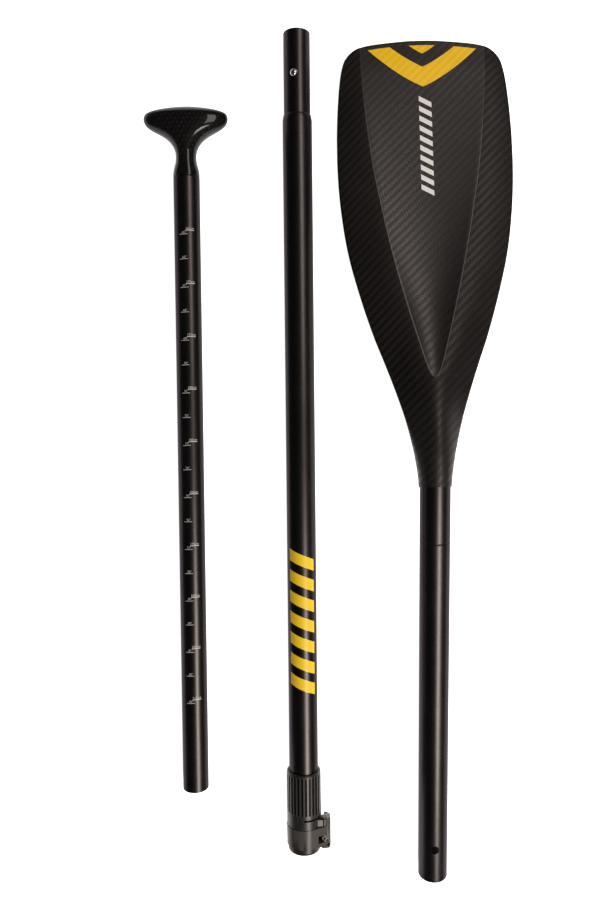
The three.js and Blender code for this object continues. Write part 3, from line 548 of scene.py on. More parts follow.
def laminate_material(name, place, face):
    m = Mat(name, place)
    u, v = m.x, m.y
    wobble = m.mul(m.sub(m.noise(0.03, 2, 0.5), 0.5), 3.0)
    iu = m.mul(m.add(u, wobble), 1 / TOW)
    iv = m.mul(m.add(v, m.mul(wobble, 0.7)), 1 / TOW)
    step = m.sub(m.f("FLOOR", iv), m.f("FLOOR", iu))
    if not face:
        step = m.add(m.f("FLOOR", iv), m.f("FLOOR", iu))
    cell = m.f("FLOORED_MODULO", step, 4.0)
    warp = m.ramp(cell, 1.45, 1.55)  # 1 where the lengthwise tow is on top
    fu = m.sub(m.f("FRACT", iu), 0.5)
    fv = m.sub(m.f("FRACT", iv), 0.5)
    tow_u = m.ramp(m.f("ABSOLUTE", fu), 0.15, 0.5, 1.0, 0.0)
    tow_v = m.ramp(m.f("ABSOLUTE", fv), 0.15, 0.5, 1.0, 0.0)
    crown = m.add(m.mul(warp, tow_u), m.mul(m.sub(1.0, warp), tow_v))
    fibre = m.noise(2.4, 2, 0.5, stretch=(1.0, 0.10, 1.0))
    fibre2 = m.noise(2.4, 2, 0.5, stretch=(0.10, 1.0, 1.0))
    strand = m.add(m.mul(warp, fibre), m.mul(m.sub(1.0, warp), fibre2))
    cloudy = m.noise(0.02, 3, 0.55)
    speck = m.noise(3.4, 2, 0.6)
    dark = m.colour(m.ramp(cloudy, 0.3, 0.7), (0.0030, 0.0026, 0.0024), (0.0045, 0.0039, 0.0036))
    light = m.colour(m.ramp(cloudy, 0.3, 0.7), (0.0092, 0.0079, 0.0073), (0.0130, 0.0111, 0.0102))
    base = m.colour(warp, dark, light)
    base = m.colour(m.ramp(strand, 0.45, 0.75, 0.0, 0.25), base, (0.017, 0.0148, 0.0135))
    base = m.colour(m.ramp(speck, 0.62, 0.8, 0.0, 0.15), base, (0.026, 0.023, 0.021))
    rough = m.add(m.ramp(warp, 0.0, 1.0, 0.47, 0.36), m.mul(m.sub(speck, 0.5), 0.05))
    spec = 0.32
    height = m.add(m.mul(crown, 0.55), m.mul(strand, 0.18))
    if face:
        au = m.f("ABSOLUTE", u)
        u2 = m.mul(u, u)
        # ridges: the distance outside the nearer one
        node = m.nt.nodes.new("ShaderNodeFloatCurve")
        line_of = node.mapping.curves[0]
        table = [(0, 0), (99, 0), (100.5, 2.0), (103, 3.6), (110, 6.4), (137, 14.2), (178, 25.0)]
        table += [(222, 35.2), (264, 43.4), (312, 51.3), (376, 57.7), (430, 60)]
        line_of.points[0].location = (0.0, 0.0)
        line_of.points[1].location = (1.0, 60 / 64)
        for at_v, half in table[1:-1]:
            line_of.points.new(at_v / 430, half / 64)
        node.mapping.update()
        m._in(node.inputs["Value"], m.mul(v, 1 / 430))
        outside = m.sub(au, m.mul(node.outputs[0], 64.0))
        wing = m.f("MAXIMUM", m.ramp(outside, -0.4, 0.8), m.ramp(v, 99.0, 102.0, 1.0, 0.0))
        # painted highlight: a thin light line along each ridge, weaker towards the tip
        ridge_highlight = m.mul(band(m, outside, 0.0, 0.42, 0.35), m.ramp(v, 98.5, 101.0))
        ridge_highlight = m.mul(ridge_highlight, m.ramp(v, 250, 400, 1.0, 0.25))
        base = m.colour(m.mul(ridge_highlight, 0.85), base, (0.060, 0.055, 0.052))
        neck = m.ramp(v, 60.0, 99.0, 1.0, 0.0)
        wing = m.mul(wing, m.sub(1.0, m.mul(neck, 0.45)))
        spec = m.ramp(wing, 0.0, 1.0, 0.29, 0.115)

        def line(c0, c1, c2):
            return m.add(c0, m.add(m.mul(au, c1), m.mul(u2, c2)))

        def above(a, b):
            return m.ramp(m.sub(a, b), -0.12, 0.12)

        top = m.sub(424.9, m.mul(u2, 0.0017))
        under = above(top, v)
        chevron = m.mul(
            m.mul(above(v, line(382.8, 0.45, 0.0052)), above(line(402.6, 0.50, 0.0055), v)),
            under,
        )
        wedge = m.mul(above(v, line(416.2, 0.58, 0.0075)), under)
        yellow = m.f("MAXIMUM", chevron, wedge)
        tint = m.colour(m.ramp(warp, 0.0, 1.0), (0.66, 0.395, 0.0015), (0.72, 0.440, 0.0025))
        base = m.colour(yellow, base, tint)
        # plain white bars on the panel, off its centre line
        across, s = m.sub(u, 1.4), m.sub(v, 324.0)
        run = m.add(s, m.mul(across, 0.55))
        inside = m.mul(band(m, run, 0.0, 48.5, 0.1), band(m, across, 0.0, 6.0, 0.1))
        phase = m.f("FRACT", m.mul(run, 1 / 9.7))
        white = m.mul(inside, band(m, phase, 0.5, 0.26, 0.012))
        base = m.colour(white, base, (0.60, 0.59, 0.58))
        ink = m.f("MAXIMUM", yellow, white)
        rough = m.add(rough, m.mul(ink, 0.04))
        height = m.add(height, m.mul(ink, 0.12))
        # rubbed edge
        near = m.ramp(v, 424, 431, 0.0, 1.0)
        base = m.colour(
            m.mul(near, m.ramp(m.noise(0.5, 4, 0.7), 0.5, 0.7, 0.0, 0.5)),
            base,
            (0.045, 0.042, 0.040),
        )
    n = m.bump(height, 0.045, 0.7)
    return m.set(color=base, rough=rough, normal=n, spec=spec, tint=(1.0, 0.93, 0.91))


def plain(name, tone, rough, metal=0.0, grain=0.8, depth=0.02, place=None, spec=0.5):
    m = Mat(name, place)
    g = m.noise(grain, 4, 0.6)
    base = m.colour(m.ramp(g, 0.3, 0.7), tone, tuple(min(1.0, 1.18 * c) for c in tone))
    r = m.ramp(g, 0.3, 0.7, rough * 0.88, min(1.0, rough * 1.12))
    return m.set(color=base, rough=r, metal=metal, normal=m.bump(g, depth, 0.6), spec=spec)


def middle_prints(m, angle):
    mask = bars(m, angle, 226.5, 70.0, 13.2, 14.1, 20.0, 0.56, 0.42)
    return mask, (0.64, 0.43, 0.012)


M_MIDDLE = tube_material("satin tube, middle", MIDDLE, middle_prints, (70, 711))
M_SPIGOT = tube_material("satin sleeve", MIDDLE, None, (600, 789), (0.0310, 0.0279, 0.0271))
M_HANDLE = tube_material("satin tube, handle", HANDLE, None, (0, 800))
M_SHAFT = tube_material("satin tube, blade shaft", SHAFT, None, (0, 620))
M_CLAMP = clamp_material("grained nylon", MIDDLE)
M_COLLAR = clamp_material("grained nylon, ribbed", MIDDLE, grooved=True)
M_BAND = clamp_material("grained nylon, band", MIDDLE, (0.0135, 0.0124, 0.0117))
M_GRIP = grip_material(HANDLE)
M_FACE = laminate_material("twill laminate, face", BLADE, True)
M_BACK = laminate_material("twill laminate, back", BLADE, False)
M_CHROME = plain("polished steel", (0.30, 0.285, 0.27), 0.22, 1.0, 1.5, 0.004)
M_STEEL = plain("zinc-plated steel", (0.085, 0.081, 0.077), 0.46, 1.0, 2.0, 0.01)
M_SPRING = plain("spring steel", (0.30, 0.29, 0.28), 0.3, 1.0, 1.2, 0.01)
M_RUBBER = plain("rubber", (0.012, 0.012, 0.012), 0.7, 0.0, 1.6, 0.05)
M_FOAM = plain("closed-cell foam", (0.62, 0.58, 0.48), 0.85, 0.0, 1.4, 0.12)
M_INK = plain("white print", (0.36, 0.34, 0.325), 0.5, 0.0, 1.2, 0.01)

# ------------------------------------------------------------------ middle section
MID_R, MID_BORE = 14.1, 12.95
BUTTON_AT, BUTTON_TURN = 746.7, math.radians(12)
TURN = Matrix.Rotation(-BUTTON_TURN, 4, "Y")


def stations(y0, y1, count, r):
    """Rings along a straight run, with one close to each end so that the ends' rounding stays there."""
    inside = [(r, y0 + (y1 - y0) * k / count) for k in range(1, count)]
    return [(r, y0 + 1.0)] + inside + [(r, y1 - 1.0)]


tube = lathe(
    "middle_tube",
    [(MID_BORE, 30), (MID_R - 0.15, 30), (MID_R, 30.2)]
    + stations(30.2, 705.6, 10, MID_R)
    + [
        (MID_R, 705.4),
        (MID_R - 0.05, 706.0),
        (13.5, 709.9),
        (13.25, 710.6),
        (13.05, 710.7),
        (MID_BORE, 710.7),
    ],
    128,
)
finish_piece(tube, MIDDLE, "middle", M_MIDDLE, "tube", "middle_shaft", sharp=50)

sleeve = lathe(
    "spigot",
    [(11.2, 602), (12.7, 602)]
    + stations(602, 788.0, 6, 12.7)
    + [(12.7, 788.0), (12.45, 788.45), (12.0, 788.8), (11.3, 788.8), (11.2, 788.7)],
    112,
)
hole = upright("hole", 3.9, 0, BUTTON_AT, 2, 20, 48)
hole.data.transform(TURN)
boolean(sleeve, hole)
finish_piece(sleeve, MIDDLE, "middle", M_SPIGOT, "spigot", "spigot_sleeve", sharp=35)

dome = [(0.0, 16.4)]
profile = [(0, 8.0), (4.6, 8.0), (4.6, 9.0), (3.6, 9.2), (3.6, 13.4)]
for k in range(1, 13):
    a = math.pi / 2 * k / 12
    profile.append((3.6 * math.cos(a), 13.4 + 3.0 * math.sin(a)))
profile[-1] = (0.0, 16.4)
button = lathe("button", profile, 56)
button.data.transform(Matrix.Rotation(math.pi / 2, 4, "X"))
button.data.transform(Matrix.Translation((0, BUTTON_AT, 0)))
button.data.transform(TURN)
face_out(button)
finish_piece(button, MIDDLE, "button", M_CHROME, "bright_steel", "snap_button", sharp=45)

# ------------------------------------------------------------------ clamp
GAP = 0.3
PIN = (19.2, 5.6)
PIN_R, BARREL_R, NOSE_R, SCREW_AT = 1.75, 3.3, 3.45, 13.45
COLLAR_R, COLLAR_TOP, BAND_R, BAND_BORE = 16.6, 78.4, 17.0, 15.3
BAND_LOW, BAND_HIGH, SLIT_LOW, SLIT_HIGH = 6.2, 25.0, 33.5, 35.3


def nose(low, back_top, back_x):
    px, pz = PIN
    reach = math.sqrt(max(0.0, NOSE_R**2 - (pz - low) ** 2))
    a0 = math.atan2(low - pz, reach)
    pts = [(back_x, low)]
    pts += arc(px, pz, NOSE_R, a0, math.pi / 2 + 0.35, 26)
    pts += [(back_x + 1.5, back_top), (back_x, back_top - 1.0)]
    return pts


def tangent_nose(low, back_x, r):
    px, pz = PIN
    normal = math.atan2(pz, px) + math.acos((r - NOSE_R) / math.hypot(px, pz))
    reach = math.sqrt(max(0.0, NOSE_R**2 - (pz - low) ** 2))
    pts = [(back_x, low)] + arc(px, pz, NOSE_R, math.atan2(low - pz, reach), normal, 26)
    pts.append((r * math.cos(normal), r * math.sin(normal)))
    pts.append(((r - 2.6) * math.cos(normal + 0.03), (r - 2.6) * math.sin(normal + 0.03)))
    return pts


collar = lathe(
    "collar",
    [
        (12.9, 0.6),
        (13.1, 0.2),
        (13.5, 0),
        (14.9, 0),
        (15.35, 0.3),
        (15.65, 0.95),
        (15.85, 1.9),
        (15.9, 2.6),
        (15.9, BAND_LOW - 0.3),
        (BAND_BORE - GAP, BAND_LOW - 0.3),
        (BAND_BORE - GAP, BAND_HIGH + 0.3),
        (COLLAR_R, BAND_HIGH + 0.3),
        (COLLAR_R, COLLAR_TOP - 2.2),
        (COLLAR_R - 0.12, COLLAR_TOP - 1.4),
        (COLLAR_R - 0.42, COLLAR_TOP - 0.65),
        (COLLAR_R - 0.85, COLLAR_TOP - 0.18),
        (COLLAR_R - 1.3, COLLAR_TOP),
        (MID_R + GAP, COLLAR_TOP),
        (MID_R + GAP, 29.7),
        (12.9, 29.7),
    ],
    168,
)
lug = extrude("lug", nose(2.05, 10.2, 11.5), BAND_HIGH + 0.5, SLIT_LOW - 1.6)
boolean(lug, rod("core", 15.8, BAND_HIGH, SLIT_LOW, 120))
boolean(collar, lug, "UNION")

# grooves with round ends and a rounded bottom
RIBS, GW, GD, GL, GH = 28, 2.1, 0.95, 39.0, 76.2
verts, faces = [], []
end = 8
for k in range(RIBS):
    a = 2 * math.pi * (k + 0.5) / RIBS
    c, s = math.cos(a), math.sin(a)
    w = GW / 2
    plan = [
        (w * math.cos(math.pi + math.pi * i / end), GL + w + w * math.sin(math.pi + math.pi * i / end))
        for i in range(end + 1)
    ] + [
        (w * math.cos(math.pi * i / end), GH - w + w * math.sin(math.pi * i / end))
        for i in range(end + 1)
    ]
    mid_y = (GL + GH) / 2
    base0 = len(verts)
    n = len(plan)
    levels = [(0.62, 0.0), (0.86, 0.10), (0.97, 0.32), (1.0, 0.62), (1.0, 4.0)]
    for scale, lift in levels:
        h = COLLAR_R - GD + lift
        for x, y in plan:
            inset = w * (1 - scale)
            yy = y + (inset if y < mid_y else -inset)
            xx = x * scale
            verts.append((xx * c + h * s, yy, -xx * s + h * c))
    for level in range(len(levels) - 1):
        for i in range(n):
            p, q = base0 + level * n + i, base0 + level * n + (i + 1) % n
            faces.append((p, q, q + n, p + n))
    faces.append(tuple(base0 + i for i in range(n - 1, -1, -1)))
    faces.append(tuple(base0 + (len(levels) - 1) * n + i for i in range(n)))
boolean(collar, face_out(new_object("grooves", verts, faces)))

boolean(collar, box("split", 8, 30, -1, SLIT_LOW + 0.5, -0.95, 0.75))
a0, a1 = math.radians(-28), math.radians(91)
boolean(
    collar,
    extrude("slit", arc(0, 0, 22, a0, a1, 40) + arc(0, 0, 10, a1, a0, 40), SLIT_LOW, SLIT_HIGH),
)
boolean(collar, rod("pinhole", PIN_R + GAP, BAND_HIGH, SLIT_HIGH + 1, 40, *PIN))
soften(collar, 0.22, 2, 40)
finish_piece(
    collar, MIDDLE, "middle", M_COLLAR, "clamp_plastic", "clamp_collar", sharp=30, weighted=True
)

ring = lathe(
    "band",
    [
        (BAND_BORE, BAND_LOW),
        (BAND_R, BAND_LOW),
        (BAND_R, BAND_HIGH),
        (BAND_BORE, BAND_HIGH),
    ],
    168,
)
knuckle = extrude("knuckle", tangent_nose(1.9, 12.2, BAND_R), BAND_LOW, BAND_HIGH)
ear_outline = (
    [(12.5, -1.75), (20.9, -1.75)]
    + bezier((20.9, -1.75), (21.43, -1.75), (21.7, -2.03), (21.7, -2.6), 6)
    + [(21.7, -5.6)]
    + bezier((21.7, -5.6), (21.7, -6.27), (21.37, -6.6), (20.7, -6.6), 6)
    + [(15.6, -6.9), (12.5, -9.5)]
)
ear = extrude("ear", ear_outline, BAND_LOW, BAND_HIGH)
boolean(ring, box("gap", 8, 26, BAND_LOW - 1, BAND_HIGH + 1, -1.75, 1.9))
boolean(knuckle, rod("bore1", BAND_BORE, BAND_LOW - 1, BAND_HIGH + 1, 168))
boolean(ear, rod("bore2", BAND_BORE, BAND_LOW - 1, BAND_HIGH + 1, 168))
boolean(ring, knuckle, "UNION")
boolean(ring, ear, "UNION")
boolean(ring, box("window", PIN[0] - 5.6, 24, SCREW_AT - 3.55, SCREW_AT + 3.55, 1.0, 14))
boolean(ring, rod("pinhole", PIN_R + GAP, BAND_LOW - 1, BAND_HIGH + 1, 40, *PIN))
boolean(ring, upright("screwhole", 1.8, PIN[0], SCREW_AT, -10, 3, 32))
boolean(ring, box("pocket", PIN[0] - 3.05, 24, SCREW_AT - 3.05, SCREW_AT + 3.05, -5.55, -3.0))
soften(ring, 0.28, 3, 40)
finish_piece(ring, MIDDLE, "middle", M_BAND, "clamp_plastic", "clamp_band", sharp=30, weighted=True)

pin = rod("pin", PIN_R, 3.9, 32.9, 48, *PIN)
barrel = rod("barrel", BARREL_R, SCREW_AT - 3.2, SCREW_AT + 3.2, 64, *PIN)
boolean(pin, barrel, "UNION")
boolean(pin, upright("h1", 1.8, PIN[0], SCREW_AT, PIN[1] - 5, PIN[1] + 5, 32))
boolean(pin, upright("h2", 2.7, PIN[0], SCREW_AT, PIN[1] + 0.2, PIN[1] + 6, 40))
soften(pin, 0.18, 2, 40)
finish_piece(pin, MIDDLE, "middle", M_STEEL, "steel", "lever_pin", sharp=30)

screw = upright("screw", 2.4, PIN[0], SCREW_AT, PIN[1] + 0.5, PIN[1] + 3.2, 48)
boolean(screw, upright("shank", 1.5, PIN[0], SCREW_AT, -8.4, PIN[1] + 0.7, 32), "UNION")
boolean(screw, upright("socket", 1.25, PIN[0], SCREW_AT, PIN[1] + 1.8, PIN[1] + 5.4, 6))
soften(screw, 0.2, 2, 40)
finish_piece(screw, MIDDLE, "screw", M_STEEL, "steel", "tension_screw", sharp=30)

px, pz = PIN
LEVER_IN, LEVER_OUT, LEVER_SWEEP, LEVER_END = 23.75, 25.9, 0.62, 34.0
top = math.asin((pz - 0.6) / LEVER_IN)
web_outline = arc(0, 0, LEVER_OUT, -LEVER_SWEEP, math.asin((pz - 0.9) / LEVER_OUT), 48) + arc(
    0, 0, LEVER_IN, top, -LEVER_SWEEP + 0.03, 48
)
cheek_outline = (
    [
        (px - 0.9, pz - 2.862),
        (px + 4.1, pz - 9.5),
        (px + 6.0, pz - 9.5),
        (px + 6.15, pz - 1.0),
    ]
    + bezier(
        (px + 6.15, pz - 1.0), (px + 5.9, pz + 1.7), (px + 4.0, pz + 3.0), (px + 1.2, pz + 2.75), 12
    )
    + arc(px, pz, 3.0, math.atan2(2.75, 1.2), math.pi + 1.266, 24)[1:-1]
)
lever = extrude("lever", web_outline, 3.6, LEVER_END)
boolean(lever, extrude("cheek1", cheek_outline, 3.6, 5.8), "UNION")
boolean(lever, extrude("cheek2", cheek_outline, 32.2, LEVER_END), "UNION")
boolean(lever, rod("pinhole", PIN_R + GAP, 0, 33.2, 40, *PIN))
# the far side tapers towards the tip
plan = [(LEVER_END + 0.05, pz - 2.4), (26.5, -17), (40, -17), (40, pz - 2.4)]
verts = [(x, y, z) for x in (17, 29) for y, z in plan]
faces = [(0, 1, 2, 3), (7, 6, 5, 4)] + [(i, (i + 1) % 4, 4 + (i + 1) % 4, 4 + i) for i in range(4)]
boolean(lever, face_out(new_object("taper", verts, faces)))
# rounded corners, seen from above
for y, r, way in ((LEVER_END, 5.0, 1), (3.6, 2.0, -1)):
    plan = arc(LEVER_OUT - r, y - way * r, r, way * math.pi / 2, 0.0, 20)
    plan += [(LEVER_OUT + 1, y - way * r), (LEVER_OUT + 1, y + way), (LEVER_OUT - r, y + way)]
    n = len(plan)
    verts = [(a, b, z) for z in (-20, 12) for a, b in plan]
    faces = [tuple(range(n)), tuple(range(2 * n - 1, n - 1, -1))]
    faces += [(i, (i + 1) % n, n + (i + 1) % n, n + i) for i in range(n)]
    boolean(lever, face_out(new_object("corner", verts, faces)))
for a in (0.36, 0.49):
    groove = box("thumb", LEVER_OUT - 0.5, LEVER_OUT + 2, 7.5, 23.5, -0.7, 0.7)
    groove.data.transform(Matrix.Rotation(a, 4, "Y"))
    boolean(lever, groove)
soften(lever, 0.3, 3, 40)
finish_piece(lever, MIDDLE, "lever", M_CLAMP, "clamp_plastic", "cam_lever", sharp=30, weighted=True)

# ------------------------------------------------------------------ handle section
HANDLE_R, HANDLE_LENGTH = 12.55, 593.7
shaft = lathe(
    "handle_tube",
    [(11.05, 0.1), (11.15, 0), (12.15, 0), (12.4, 0.12), (12.52, 0.35), (HANDLE_R, 0.7)]
    + stations(0.7, HANDLE_LENGTH, 8, HANDLE_R)
    + [
        (HANDLE_R, HANDLE_LENGTH - 0.25),
        (HANDLE_R - 0.2, HANDLE_LENGTH),
        (11.05, HANDLE_LENGTH),
    ],
    128,
)
finish_piece(shaft, HANDLE, "handle", M_HANDLE, "tube", "handle_shaft", sharp=50)
plug = lathe(
    "end_plug",
    [
        (0, 2.6),
        (7.2, 2.6),
        (7.9, 2.3),
        (8.4, 1.7),
        (9.9, 1.5),
        (10.4, 1.65),
        (10.7, 2.1),
        (10.7, 10.4),
        (9.5, 12),
        (0, 12),
    ],
    72,
)
finish_piece(plug, HANDLE, "handle_carrier", M_RUBBER, "rubber", "handle_end_plug", sharp=40)

base = HANDLE_LENGTH + GAP
SIDE = [
    (12.2, 0.0), (12.5, 0.35), (12.45, 4.0), (11.6, 8.6), (10.35, 13.2), (9.75, 17.8), (9.95, 22.6),
    (11.1, 27.0), (13.4, 31.2), (16.6, 35.0), (21.2, 38.6), (27.4, 42.0), (33.4, 45.2), (37.6, 48.6),
    (39.8, 52.6), (40.0, 56.4), (38.2, 60.0), (33.0, 62.4), (24.0, 64.2), (12.0, 65.6), (4.0, 66.1),
]
FRONT = [
    (12.2, 0.0), (12.5, 0.35), (12.4, 4.0), (11.7, 8.6), (10.8, 13.2), (10.5, 17.8), (10.9, 22.6),
    (11.8, 27.0), (12.9, 31.2), (13.9, 35.0), (14.7, 38.8), (15.3, 42.6), (15.7, 46.2), (15.8, 49.8),
    (15.6, 53.2), (14.8, 56.6), (13.2, 59.8), (10.6, 62.6), (7.2, 64.8), (3.6, 65.9), (1.2, 66.15),
]


def spline(points, t):
    """Catmull-Rom through the points, t from 0 to len-1."""
    p = np.array(points, float)
    n = len(p)
    i = int(min(math.floor(t), n - 2))
    f = t - i
    a, b, c, d = p[max(i - 1, 0)], p[i], p[i + 1], p[min(i + 2, n - 1)]
    return 0.5 * (
        2 * b
        + (c - a) * f
        + (2 * a - 5 * b + 4 * c - d) * f * f
        + (3 * b - a - 3 * c + d) * f**3
    )


verts, rings = [], []
around = 144
tenon = [(10.2, base - 40, 10.2), (10.75, base - 38.5, 10.75), (10.75, base - 0.3, 10.75)]
for r, y, r2 in tenon:
    rings.append(len(verts))
    for j in range(around):
        p = 2 * math.pi * j / around
        verts.append((r * math.cos(p), y, r2 * math.sin(p)))
steps = [0, 0.5] + [1 + k / 5 for k in range((len(SIDE) - 2) * 5 + 1)]
for t in steps:
    a, ya = spline(SIDE, t) if t > 1 else mix(np.array(SIDE[0]), np.array(SIDE[1]), t)
    b, yb = spline(FRONT, t) if t > 1 else mix(np.array(FRONT[0]), np.array(FRONT[1]), t)
    rings.append(len(verts))
    for j in range(around):
        p = 2 * math.pi * j / around
        c, s = math.cos(p), math.sin(p)
        verts.append((a * c, base + ya * c * c + yb * s * s, b * s))
faces = []
for q in range(len(rings) - 1):
    for j in range(around):
        j2 = (j + 1) % around
        faces.append((rings[q] + j, rings[q] + j2, rings[q + 1] + j2, rings[q + 1] + j))
lo, hi = len(verts), len(verts) + 1
verts += [(0, base - 40, 0), (0, base + 66.2, 0)]
for j in range(around):
    j2 = (j + 1) % around
    faces.append((lo, rings[0] + j2, rings[0] + j))
    faces.append((hi, rings[-1] + j, rings[-1] + j2))
grip = face_out(new_object("grip", verts, faces))
finish_piece(grip, HANDLE, "handle", M_GRIP, "grip_gloss", "palm_grip", sharp=55)


# Printed length scale: centimetres right of the middle, inches left of it.
def text_mesh(body, size):
    c = bpy.data.curves.new("label", "FONT")
    c.body, c.size = body, size
    c.align_x = "CENTER"
    c.extrude = 0.0
    c.resolution_u = 3
    ob = bpy.data.objects.new("label", c)
    SCENE.collection.objects.link(ob)
    bpy.context.view_layer.update()
    mesh = bpy.data.meshes.new_from_object(
        ob.evaluated_get(bpy.context.evaluated_depsgraph_get())
    )
    pts = [tuple(v.co) for v in mesh.vertices]
    polys = [tuple(p.vertices) for p in mesh.polygons]
    bpy.data.objects.remove(ob)
    bpy.data.meshes.remove(mesh)
    return pts, polys


def wrap(points, radius, angle, along, lean=0.0):
    out = []
    for x, y, *_ in points:
        a = angle + x / radius
        out.append((radius * math.sin(a), along + y + lean * x, radius * math.cos(a)))
    return out


def sheet_to_solid(points, polys, radius, angle, along, lean, verts, faces, thick=0.03):
    """Wraps a flat shape on the tube and gives it a thin closed body."""
    lo, hi = wrap(points, radius, angle, along, lean), wrap(points, radius + thick, angle, along, lean)
    b0, n = len(verts), len(points)
    verts += lo + hi
    edges = {}
    for p in polys:
        faces.append(tuple(b0 + n + i for i in p))
        faces.append(tuple(b0 + i for i in reversed(p)))
        for i in range(len(p)):
            e = (p[i], p[(i + 1) % len(p)])
            if (e[1], e[0]) in edges:
                edges.pop((e[1], e[0]))
            else:
                edges[e] = True
    for i, j in edges:
        faces.append((b0 + i, b0 + j, b0 + n + j, b0 + n + i))


verts, faces = [], []
PRINT_R = HANDLE_R + 0.015


def strip(width, y0, y1, angle, along, lean):
    cols = 8
    pts = [(-width / 2 + width * k / cols, y) for y in (y0, y1) for k in range(cols + 1)]
    polys = [(k, k + 1, cols + 2 + k, cols + 1 + k) for k in range(cols)]
    sheet_to_solid(pts, polys, PRINT_R, angle, along, lean, verts, faces)


def inch_mark(label, at):
    angle = math.radians(-9.2)
    pts, polys = text_mesh(label, 3.0)
    pts = [(x + 0.4, y + 0.95) for x, y, _ in pts]
    sheet_to_solid(pts, polys, PRINT_R, angle, at, 0.05, verts, faces)
    strip(7.9, 0.0, 0.5, angle, at, 0.05)


for k in range(10):
    at = 91.8 + 50 * k
    angle = math.radians(18.4)
    pts, polys = text_mesh(f"{210 - 5 * k}cm", 3.05)
    pts = [(x * 1.02, y + 1.15) for x, y, _ in pts]
    sheet_to_solid(pts, polys, PRINT_R, angle, at, 0.0, verts, faces)
    strip(8.4, 0.0, 0.75, angle, at, 0.0)
    inch_mark(f'{83 - 2 * k}"', at - 3.4)
    if k < 9:
        inch_mark(f'{82 - 2 * k}"', at + 23.3)
marks = face_out(new_object("length_scale", verts, faces))
finish_piece(marks, HANDLE, "handle", M_INK, "tube", sharp=30)

# ------------------------------------------------------------------ blade section, tubes
BLADE_TUBE_R, SOCKET_BORE, SEAM = 14.1, 13.0, 339
tube = lathe(
    "blade_tube",
    [(SOCKET_BORE, 0.3), (13.15, 0), (13.7, 0), (13.95, 0.1), (14.1, 0.45)]
    + stations(0.45, SEAM - 0.4, 8, BLADE_TUBE_R)
    + [(BLADE_TUBE_R, SEAM - 0.4), (BLADE_TUBE_R - 0.2, SEAM - 0.15), (SOCKET_BORE, SEAM - 0.15)],
    128,
)
boolean(tube, upright("hole", 4.05, 0, 34.6, 4, 20, 56))
finish_piece(tube, SHAFT, "blade", M_SHAFT, "tube", "blade_shaft", sharp=50)
TUBE_IN = 29
neck = lathe(
    "neck",
    [(SOCKET_BORE, SEAM + 0.15), (BLADE_TUBE_R - 0.2, SEAM + 0.15), (BLADE_TUBE_R, SEAM + 0.4)]
    + [(BLADE_TUBE_R, SEAM + 1.4)]
    + [(BLADE_TUBE_R, NECK_END + TUBE_IN), (SOCKET_BORE, NECK_END + TUBE_IN)],
    128,
)
finish_piece(neck, SHAFT, "blade", M_SHAFT, "tube", "neck_tube", sharp=50)

# ------------------------------------------------------------------ blade
half_width = curve([
    (0, 15.1), (6.5, 15.5), (24.9, 18.0), (43.4, 21.8), (62, 26.4), (80.6, 32.1), (99.3, 38.4),
    (118.2, 45.2), (137.1, 52.2), (156.1, 58.4), (175.2, 64.1), (194.3, 69.3), (213.6, 74.0),
    (232.9, 77.6), (252.3, 80.2), (271.9, 82.2), (291.5, 83.4), (311.2, 83.9), (331, 83.8),
    (350.9, 83.1), (370.9, 81.8), (390.9, 79.8), (403, 77.6), (411, 75.0), (417.5, 70.5),
])
CORNER_V, CORNER_U = 417.5, 70.5
tip_edge = curve([
    (0, 430.4), (12, 430.2), (23, 429.4), (30, 428.8), (41, 427.6), (52, 426.0), (58, 424.6),
    (64, 422.3), (CORNER_U, CORNER_V),
])
crest = curve([
    (0, 15.7), (10, 18.1), (20, 20.2), (32, 22.3), (48, 23.2), (75, 22.4), (100, 20.2), (137, 16.6),
    (178, 12.4), (222, 9.0), (300, 6.2), (376, 4.6), (430, 3.2),
])
keel = curve([
    (0, -15.7), (10, -13.6), (20, -11.7), (32, -9.7), (48, -7.8), (75, -6.0), (100, -5.2),
    (137, -4.7), (178, -4.3), (222, -4.0), (300, -3.5), (376, -2.9), (430, -2.4),
])
edge_line = curve([
    (0, 0), (20, 2.5), (45, 4.6), (61, 5.0), (80, 4.7), (100, 3.8), (137, 2.0), (178, 0.7),
    (222, 0.1), (300, 0), (430, 0),
])
ridge = curve([
    (100, 0), (103, 3.6), (110, 6.4), (137, 14.2), (178, 25.0), (222, 35.2), (264, 43.4),
    (312, 51.3), (376, 57.7), (430, 60),
])
scoop = curve([
    (100, 0), (125, 2.2), (178, 4.4), (222, 4.0), (300, 3.0), (376, 1.6), (418, 0.5), (430, 0.3),
])


def edge_half(v):
    return 1.35 * smooth(0, 45, v)


def edge_round(u, v):
    a = np.abs(u)
    side = np.maximum(0, half_width(np.minimum(v, CORNER_V)) - a)
    tip = np.maximum(0, tip_edge(np.minimum(a, CORNER_U)) - v)
    d = np.where(v > 380, np.minimum(side * mix(1, 0.8, smooth(383, 417, v)), tip), side)
    k = np.minimum(1, d / 1.8)
    return np.sqrt(np.maximum(0, 1 - (1 - k) ** 2))


def flank(x, v):
    q = np.minimum(1, np.abs(x))
    round_ = np.sqrt(np.maximum(0, 1 - q * q))
    bell = mix(0.5 + 0.5 * np.cos(np.pi * q), 1 - q * q, 0.55)
    wing = 1 - q**1.7
    return mix(mix(round_, bell, smooth(8, 70, v)), wing, smooth(95, 190, v))


